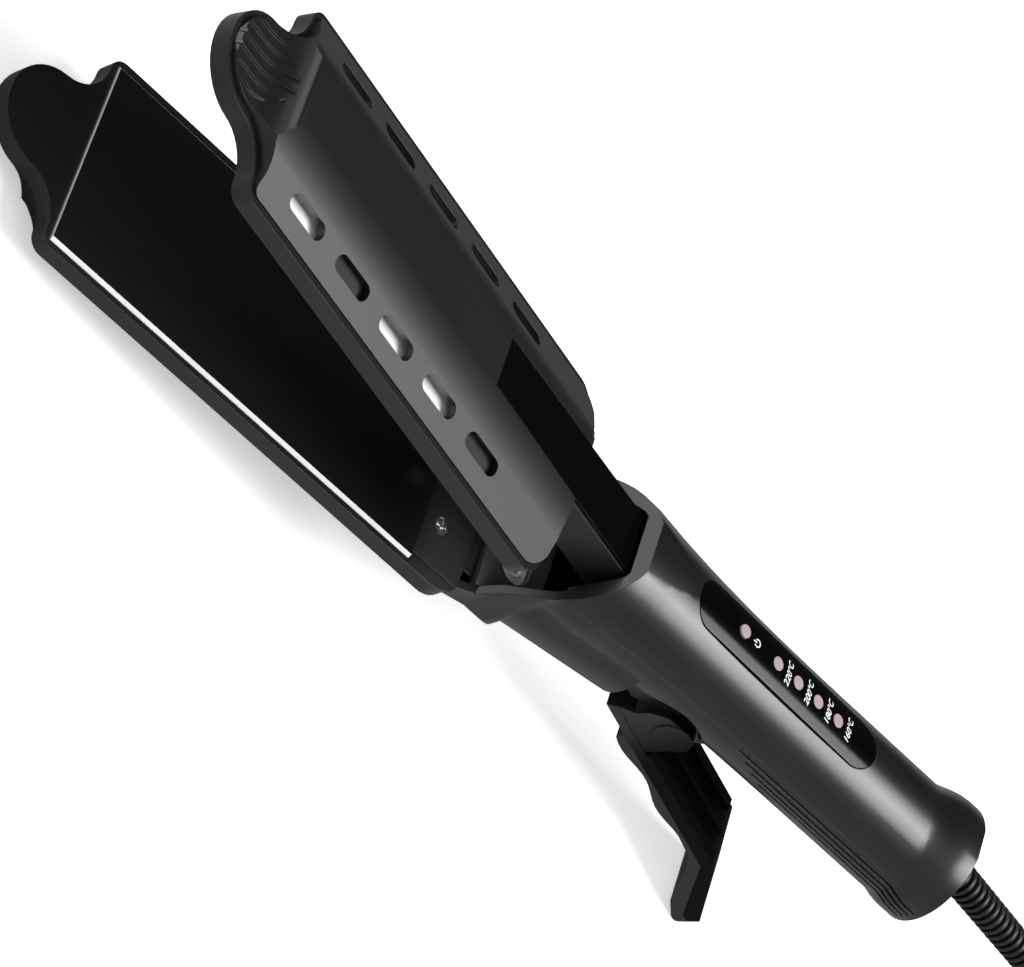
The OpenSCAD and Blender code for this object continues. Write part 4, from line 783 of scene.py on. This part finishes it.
class STRAIGHTENER_OT_stage(bpy.types.Operator):
    """Makes the camera, the floor, the background and the lamps"""

    bl_idname = "straightener.stage"
    bl_label = "Stage"

    def execute(self, context):
        looks = context.scene.straightener_stage
        data = bpy.data.cameras.new("camera")
        data.sensor_width = 36
        data.lens = CAMERA_LENS
        data.clip_start, data.clip_end = 0.05, 60
        camera = bpy.data.objects.new("camera", data)
        context.scene.collection.objects.link(camera)
        axes = Matrix((CAMERA_RIGHT, CAMERA_UP, CAMERA_RIGHT.cross(CAMERA_UP))).transposed()
        camera.matrix_world = Matrix.Translation(CAMERA_AT) @ axes.to_4x4()
        context.scene.camera = camera

        f = Finish("floor_paper")
        pulp = f.noise(600, 4.0)
        seen = f.node("ShaderNodeLightPath", out="Is Camera Ray")
        mirrored = f.node("ShaderNodeLightPath", out="Is Glossy Ray")
        # What the object mirrors of the floor is darker than the floor: a painted shade on the object's reflections.
        sheet = f.mix(mirrored, looks.floor, shade(looks.floor, 0.36))
        sheet = f.mix(seen, sheet, (1, 1, 1))
        paper = f.close(
            Base_Color=f.mix(pulp * 0.02, sheet, (0.9, 0.9, 0.9)), Roughness=pulp * 0.1 + 0.75,
            Specular_IOR_Level=0.1, Emission_Color=f.mix(seen, (0, 0, 0), (0.45, 0.45, 0.45)),
            Emission_Strength=1.0, Normal=f.bump(pulp, 0.02 * MM, 0.2))
        mesh = bpy.data.meshes.new("floor")
        corners = [(FLOOR_HALF * x, FLOOR_HALF * y, FLOOR_LOW) for x, y in ((-1, -1), (1, -1), (1, 1), (-1, 1))]
        mesh.from_pydata(corners, [], [(0, 1, 2, 3)])
        mesh.materials.append(paper)
        floor = bpy.data.objects.new("floor", mesh)
        context.scene.collection.objects.link(floor)
        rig.stage(floor)

        world = bpy.data.worlds.new("studio")
        world.use_nodes = True
        context.scene.world = world
        w = Finish("studio", world.node_tree)
        ray = w.node("ShaderNodeTexCoord", out="Generated")
        near = w.node(
            "ShaderNodeVectorMath", {"operation": "DOT_PRODUCT"}, {0: ray, 1: (-0.35, -0.9, 0.25)}, out="Value")
        strength = near.between(0.0, 0.8) * (looks.horizon - looks.ceiling) + looks.ceiling
        glow = w.node("ShaderNodeBackground", {}, {"Color": (1, 1, 1), "Strength": strength})
        w.node("ShaderNodeOutputWorld", {}, {"Surface": glow})

        for name, way, power, wide in (
            ("key", (0.46, -0.28, 0.84), looks.key, 28),
            ("flank", (0.5, 0.0, 0.866), looks.flank, 24),
            ("fill", (-0.75, -0.35, 0.75), looks.fill, 70),
            ("rim", (-0.72, 0.6, 0.38), looks.rim, 40),
        ):
            lamp = bpy.data.lights.new(name, "SUN")
            lamp.energy = power
            lamp.angle = math.radians(wide)
            holder = bpy.data.objects.new(name, lamp)
            holder.matrix_world = Vector(way).to_track_quat("Z", "Y").to_matrix().to_4x4()
            context.scene.collection.objects.link(holder)
        context.scene.view_settings.view_transform = "Standard"
        return {"FINISHED"}


class STRAIGHTENER_OT_lead(bpy.types.Operator):
    """Makes the mains lead, its coil, its tie, its plug and its pins"""

    bl_idname = "straightener.lead"
    bl_label = "Lead and plug"

    def execute(self, context):
        size = context.scene.straightener_sizes
        line = bpy.data.curves.new("mains_lead", "CURVE")
        line.dimensions = "3D"
        line.bevel_depth = size.lead_diameter / 2
        line.bevel_resolution = 4
        line.use_fill_caps = True
        route = lead_route()
        spline = line.splines.new("POLY")
        spline.points.add(len(route) - 1)
        for point, at in zip(spline.points, route):
            point.co = (*at, 1)
        spline.use_smooth = True
        line.materials.append(finish("rubber"))
        lead = bpy.data.objects.new("mains_lead", line)
        context.scene.collection.objects.link(lead)
        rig.ride(lead, "base")
        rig.replaces(lead, "cord", "cord_coil", "cord_end")
        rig.slot(lead, "rubber_black")

        plug = self.plug_body()
        pins = dressed("plug_pins", "plug_pin_pair", "pin_metal", "base", "pin_metal", 0.35 * MM)
        tie = dressed("cord_tie", "lead_tie", "rubber", "base", "rubber_black", 0.2 * MM)
        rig.cord(
            lead, exit=route[0], length=size.lead_length, diameter=size.lead_diameter,
            far_end="plug", stiffness="medium", lay="coiled", with_pieces=[plug, pins, tie])
        return {"FINISHED"}

    def plug_body(self):
        """A round-shouldered moulded plug, narrow where the lead goes in."""
        sides, squareness = 48, 0.62
        shape = bmesh.new()
        stations = [
            (0.0, 3.6, 3.4), (0.4, 4.2, 3.9), (4, 4.6, 4.2), (9.1, 5.4, 5.0), (11.5, 7.4, 5.7), (14.7, 11.2, 6.3),
            (18, 13.6, 6.7), (21, 14.9, 6.75), (27, 15.7, 6.75), (33, 15.9, 6.75), (34.4, 15.6, 6.5), (35, 14.8, 5.9),
        ]
        rings = []
        for x, wide, thick in stations:
            ring = []
            for k in range(sides):
                a = 2 * math.pi * k / sides
                c, s = math.cos(a), math.sin(a)
                ring.append(shape.verts.new(Vector((
                    PLUG_AT[0] + math.copysign(abs(c) ** squareness, c) * wide,
                    PLUG_AT[1] - x,
                    PLUG_AT[2] + math.copysign(abs(s) ** squareness, s) * thick)) * MM))
            rings.append(ring)
        loft(shape, rings)
        bmesh.ops.recalc_face_normals(shape, faces=shape.faces)
        return settle("plug_body", shape, "rubber", "base", "rubber_black", ("plug",), math.radians(40))


class STRAIGHTENER_OT_handle(bpy.types.Operator):
    """Dresses the two handle shells, the deck and the wire clip"""

    bl_idname = "straightener.handle"
    bl_label = "Handle"

    def execute(self, context):
        size = context.scene.straightener_sizes
        dressed("handle_lower_shell", "lower_shell", "satin_shell", "base", "shell_plastic")
        dressed("handle_upper_shell", "upper_shell", "satin_shell", "base", "shell_plastic")
        dressed("root_bridge", "wire_deck", "deck_grey", "base", "heat_plastic", size.fine_edge)
        dressed("wire_clip", "white_clip", "white_plastic", "base", "white_plastic", size.fine_edge)
        return {"FINISHED"}


class STRAIGHTENER_OT_jaws(bpy.types.Operator):
    """Dresses the jaw frames, their vented covers and the end holders"""

    bl_idname = "straightener.jaws"
    bl_label = "Jaws"

    def execute(self, context):
        size = context.scene.straightener_sizes
        for side, body, axes in (("lower", "base", LOWER), ("upper", "upper", SWUNG)):
            dressed(side + "_jaw_frame", side + "_rim", "satin_jaw", body, "jaw_plastic", size.moulded_edge)
            cover = dressed(
                side + "_jaw_cover", side + "_vented_cover", side + "_cover", body, "jaw_plastic", size.moulded_edge)
            self.mark_flanks(cover.data, axes.inverted())
            dressed(
                side + "_end_holder", side + "_plate_holder", "heat_black", body, "heat_plastic", size.fine_edge)
        return {"FINISHED"}

    def mark_flanks(self, mesh, back):
        """Marks the faces over which the crease between flank and back is eased."""
        flank = mesh.attributes.new("flank", "FLOAT", "FACE")
        turned = back.to_3x3()
        for value, polygon in zip(flank.data, mesh.polygons):
            high = (turned @ polygon.normal).normalized().z > 0.6 and (back @ polygon.center).x > 1 * MM
            value.value = 1.0 if high else 0.0


class STRAIGHTENER_OT_plates(bpy.types.Operator):
    """Dresses the heating plates, bare along their bevels, and the shields behind the vents"""

    bl_idname = "straightener.plates"
    bl_label = "Heating plates"

    def execute(self, context):
        for side, body, axes in (("lower", "base", LOWER), ("upper", "upper", SWUNG)):
            mesh = dressed(
                side + "_heating_plate", side + "_plate", "plate_coating", body, "plate_coating",
                angle=math.radians(20)).data
            face = (axes.to_3x3() @ Vector((0, 0, -1))).normalized()
            bare = mesh.attributes.new("bare", "FLOAT", "FACE")
            for value, polygon in zip(bare.data, mesh.polygons):
                value.value = 0.0 if polygon.normal.dot(face) > 0.95 else 1.0
            clothe(side + "_heat_shield", "bright_shield")
        return {"FINISHED"}


class STRAIGHTENER_OT_lever(bpy.types.Operator):
    """Dresses the swinging arm, its gloss inlay, the lever and its scalloped grip"""

    bl_idname = "straightener.lever"
    bl_label = "Arm and lever"

    def execute(self, context):
        size = context.scene.straightener_sizes
        dressed("upper_arm_and_lever", "arm_and_lever", "arm_black", "upper", "lever_plastic", size.moulded_edge)
        dressed("arm_inlay", "gloss_inlay", "gloss_black", "upper", "gloss_black", size.fine_edge)
        dressed("lever_finger_grip", "finger_grip", "satin_lever", "upper", "lever_plastic", 0.5 * MM)
        return {"FINISHED"}


class STRAIGHTENER_OT_panel(bpy.types.Operator):
    """Makes the gloss panel, its lenses, its button and its printed temperatures"""

    bl_idname = "straightener.panel"
    bl_label = "Control panel"
    rise = 0.03

    def execute(self, context):
        size = context.scene.straightener_sizes
        dressed("control_panel", "gloss_panel", "gloss_black", "base", "gloss_black", 0.2 * MM)
        dressed("indicator_lenses", "frosted_lenses", "lens", "base", "lens", 0.2 * MM)
        dressed("power_button", "push_button", "lens", "button", "lens", 0.2 * MM)
        shape = bmesh.new()
        for lens_x, figures in zip((-4.1, 3.05, 10.2, 17.35), ("220°C", "200°C", "180°C", "160°C")):
            self.write(shape, figures, lens_x + 3.9, size.figure_height)
        button_x = -16
        self.power_mark(shape, button_x + 4.4)
        self.wrap(shape)
        settle("printed_figures", shape, "print", "base", "gloss_black")
        return {"FINISHED"}

    def write(self, shape, figures, x, height):
        """Adds figures that read from the near side to the far side."""
        line = bpy.data.curves.new("figures", "FONT")
        line.body = figures
        line.size = height
        line.shear = 0.25
        line.offset = self.rise * MM
        line.align_x = "CENTER"
        line.align_y = "CENTER"
        line.extrude = self.rise * MM
        text = bpy.data.objects.new("figures", line)
        bpy.context.scene.collection.objects.link(text)
        bpy.context.view_layer.update()
        mesh = bpy.data.meshes.new_from_object(text.evaluated_get(bpy.context.evaluated_depsgraph_get()))
        bpy.data.objects.remove(text)
        mesh.transform(shift(x, 0, 0) @ Matrix.Rotation(math.radians(90), 4, "Z"))
        shape.from_mesh(mesh)

    def power_mark(self, shape, x):
        """A broken ring with a bar, the usual sign on a switch."""
        radius, thick, steps = 0.85, 0.17, 32
        corners = ((-thick, -self.rise), (thick, -self.rise), (thick, self.rise), (-thick, self.rise))
        rows = []
        for i in range(steps + 1):
            a = math.radians(40 + 280 * i / steps)
            rows.append([
                shape.verts.new(Vector((x - (radius + r) * math.cos(a), -(radius + r) * math.sin(a), z)) * MM)
                for r, z in corners])
        loft(shape, rows)
        made = bmesh.ops.create_cube(shape, size=1)
        bmesh.ops.scale(shape, verts=made["verts"], vec=Vector((1.1, 2 * thick, 2 * self.rise)) * MM)
        bmesh.ops.translate(shape, verts=made["verts"], vec=Vector((x - 0.75, 0, 0)) * MM)

    def wrap(self, shape):
        """Cuts the print into strips and lays them on the panel's crown."""
        crown, strips, strip = 14.5, 14, 0.3
        for i in range(-strips, strips + 1):
            whole = shape.verts[:] + shape.edges[:] + shape.faces[:]
            bmesh.ops.bisect_plane(shape, geom=whole, plane_co=(0, i * strip * MM, 0), plane_no=(0, 1, 0))
        for vert in shape.verts:
            y = vert.co.y / MM
            vert.co.z += (math.sqrt(crown * crown - y * y) - crown) * MM
        shape.transform(PANEL)
        bmesh.ops.recalc_face_normals(shape, faces=shape.faces)


class STRAIGHTENER_OT_relief(bpy.types.Operator):
    """Grows the ribbed strain relief where the lead leaves the handle"""

    bl_idname = "straightener.relief"
    bl_label = "Strain relief"
    sides = 56

    def execute(self, context):
        count = context.scene.straightener_sizes.rib_count
        g = Growth(
            "relief_ribs", Ribs=("NodeSocketInt", count), Pitch=("NodeSocketFloat", 2.2 * MM),
            Radius=("NodeSocketFloat", 3.65 * MM), Taper=("NodeSocketFloat", 0.13))
        step = g.node("ShaderNodeCombineXYZ", {}, {2: g.given("Pitch")}).outputs[0]
        line = g.node("GeometryNodeMeshLine", {"mode": "OFFSET"}, {
            "Count": g.given("Ribs"), "Start Location": (0, 0, 5.6 * MM), "Offset": step}).outputs[0]
        circle = g.node("GeometryNodeCurvePrimitiveCircle", {}, {
            "Resolution": self.sides, "Radius": g.given("Radius")}).outputs[0]
        square = g.node("GeometryNodeCurvePrimitiveQuadrilateral", {}, {
            "Width": 0.95 * MM, "Height": 1.2 * MM}).outputs[0]
        soft = g.node("GeometryNodeFilletCurve", {"mode": "POLY"}, {
            "Curve": square, "Count": 4, "Radius": 0.36 * MM}).outputs[0]
        ring = g.node("GeometryNodeCurveToMesh", {}, {"Curve": circle, "Profile Curve": soft}).outputs[0]
        order = g.node("GeometryNodeInputIndex").outputs[0]
        share = g.number("DIVIDE", order, g.given("Ribs"))
        shrunk = g.number("SUBTRACT", 1.0, g.number("MULTIPLY", g.given("Taper"), share))
        scale = g.node("ShaderNodeCombineXYZ", {}, {0: shrunk, 1: shrunk, 2: 1.0}).outputs[0]
        ribs = g.node("GeometryNodeInstanceOnPoints", {}, {
            "Points": line, "Instance": ring, "Scale": scale}).outputs[0]
        g.last = g.join(g.given("Geometry"), ribs)
        mesh = g.grow(self.core(), "rubber")
        mesh.transform(RELIEF @ Matrix.Rotation(math.radians(90), 4, "Y"))
        shape = bmesh.new()
        shape.from_mesh(mesh)
        bmesh.ops.recalc_face_normals(shape, faces=shape.faces)
        settle("ribbed_relief", shape, "rubber", "base", "rubber_black", ("strain_relief",), math.radians(40))
        return {"FINISHED"}

    def core(self):
        """The relief's tapered core with its flange and its end ring, along z."""
        outline = (
            (5.7, -6.2), (5.7, -3.95), (4.1, -3.95), (4.1, 4.6), (3.9, 4.9), (3.25, 5.0), (2.8, 63.4), (3.35, 63.5),
            (3.55, 63.8), (3.45, 66.6), (3.25, 68.8), (3.05, 69))
        mesh = bpy.data.meshes.new("relief_core")
        shape = bmesh.new()
        rings = [[shape.verts.new(Vector((r * math.cos(a), r * math.sin(a), z)) * MM)
                  for a in (2 * math.pi * k / self.sides for k in range(self.sides))] for r, z in outline]
        loft(shape, rings)
        shape.to_mesh(mesh)
        shape.free()
        return mesh


class STRAIGHTENER_OT_screws(bpy.types.Operator):
    """Gives the screws their plated steel"""

    bl_idname = "straightener.screws"
    bl_label = "Screws"

    def execute(self, context):
        for node in (
            "lower_jaw_screws", "upper_jaw_screws", "handle_screws", "grip_screw", "board_screws",
            "cord_clamp_screws",
        ):
            clothe(node, "steel")
        return {"FINISHED"}


class STRAIGHTENER_OT_inside(bpy.types.Operator):
    """Gives the parts inside the housings their finishes"""

    bl_idname = "straightener.inside"
    bl_label = "Inner parts"

    def execute(self, context):
        for material, nodes in (
            ("bare_aluminium", ("lower_heater", "upper_heater")),
            ("steel", ("lower_thermal_fuse", "upper_thermal_fuse", "hinge_pin")),
            ("spring_steel", ("torsion_spring",)),
            ("silicone", ("lower_slot_pads", "upper_slot_pads")),
            ("white_plastic", ("hinge_bushes", "indicator_leds")),
            ("wire_white", ("mains_wires", "heater_wires", "arm_wires")),
            ("component", ("board_components", "tact_switch", "switch_plunger")),
            ("board", ("circuit_board",)),
            ("heat_black", ("cord_clamp",)),
        ):
            for node in nodes:
                clothe(node, material)
        return {"FINISHED"}


STEPS = ("stage", "lead", "handle", "jaws", "plates", "lever", "panel", "relief", "screws", "inside")


class STRAIGHTENER_PT_pieces(bpy.types.Panel):
    """Lists the straightener's pieces in the 3D view's sidebar."""

    bl_idname = "STRAIGHTENER_PT_pieces"
    bl_label = "Straightener"
    bl_space_type = "VIEW_3D"
    bl_region_type = "UI"
    bl_category = "Straightener"

    def draw(self, context):
        column = self.layout.column()
        for step in STEPS:
            column.operator("straightener." + step)
        for name in GROUPS:
            group = getattr(context.scene, name)
            box = self.layout.box()
            for key in group.__annotations__:
                box.prop(group, key)


GROUPS = {
    "straightener_sizes": StraightenerSizes,
    "straightener_colours": StraightenerColours,
    "straightener_stage": StraightenerStage,
}
OPERATORS = (
    STRAIGHTENER_OT_stage, STRAIGHTENER_OT_lead, STRAIGHTENER_OT_handle, STRAIGHTENER_OT_jaws,
    STRAIGHTENER_OT_plates, STRAIGHTENER_OT_lever, STRAIGHTENER_OT_panel, STRAIGHTENER_OT_relief,
    STRAIGHTENER_OT_screws, STRAIGHTENER_OT_inside,
)


def register():
    for key, group in GROUPS.items():
        bpy.utils.register_class(group)
        setattr(bpy.types.Scene, key, bpy.props.PointerProperty(type=group))
    for operator in (*OPERATORS, STRAIGHTENER_PT_pieces):
        bpy.utils.register_class(operator)


def unregister():
    for operator in (*OPERATORS, STRAIGHTENER_PT_pieces):
        bpy.utils.unregister_class(operator)
    for key, group in GROUPS.items():
        delattr(bpy.types.Scene, key)
        bpy.utils.unregister_class(group)


def main():
    register()
    for step in STEPS:
        getattr(bpy.ops.straightener, step)()
    with open("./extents.json", "w") as kept:
        json.dump({"cad_box": [list(c) for c in CAD_BOX], "visual_box": [list(c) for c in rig.bounds()]}, kept)


if __name__ == "__main__":
    main()
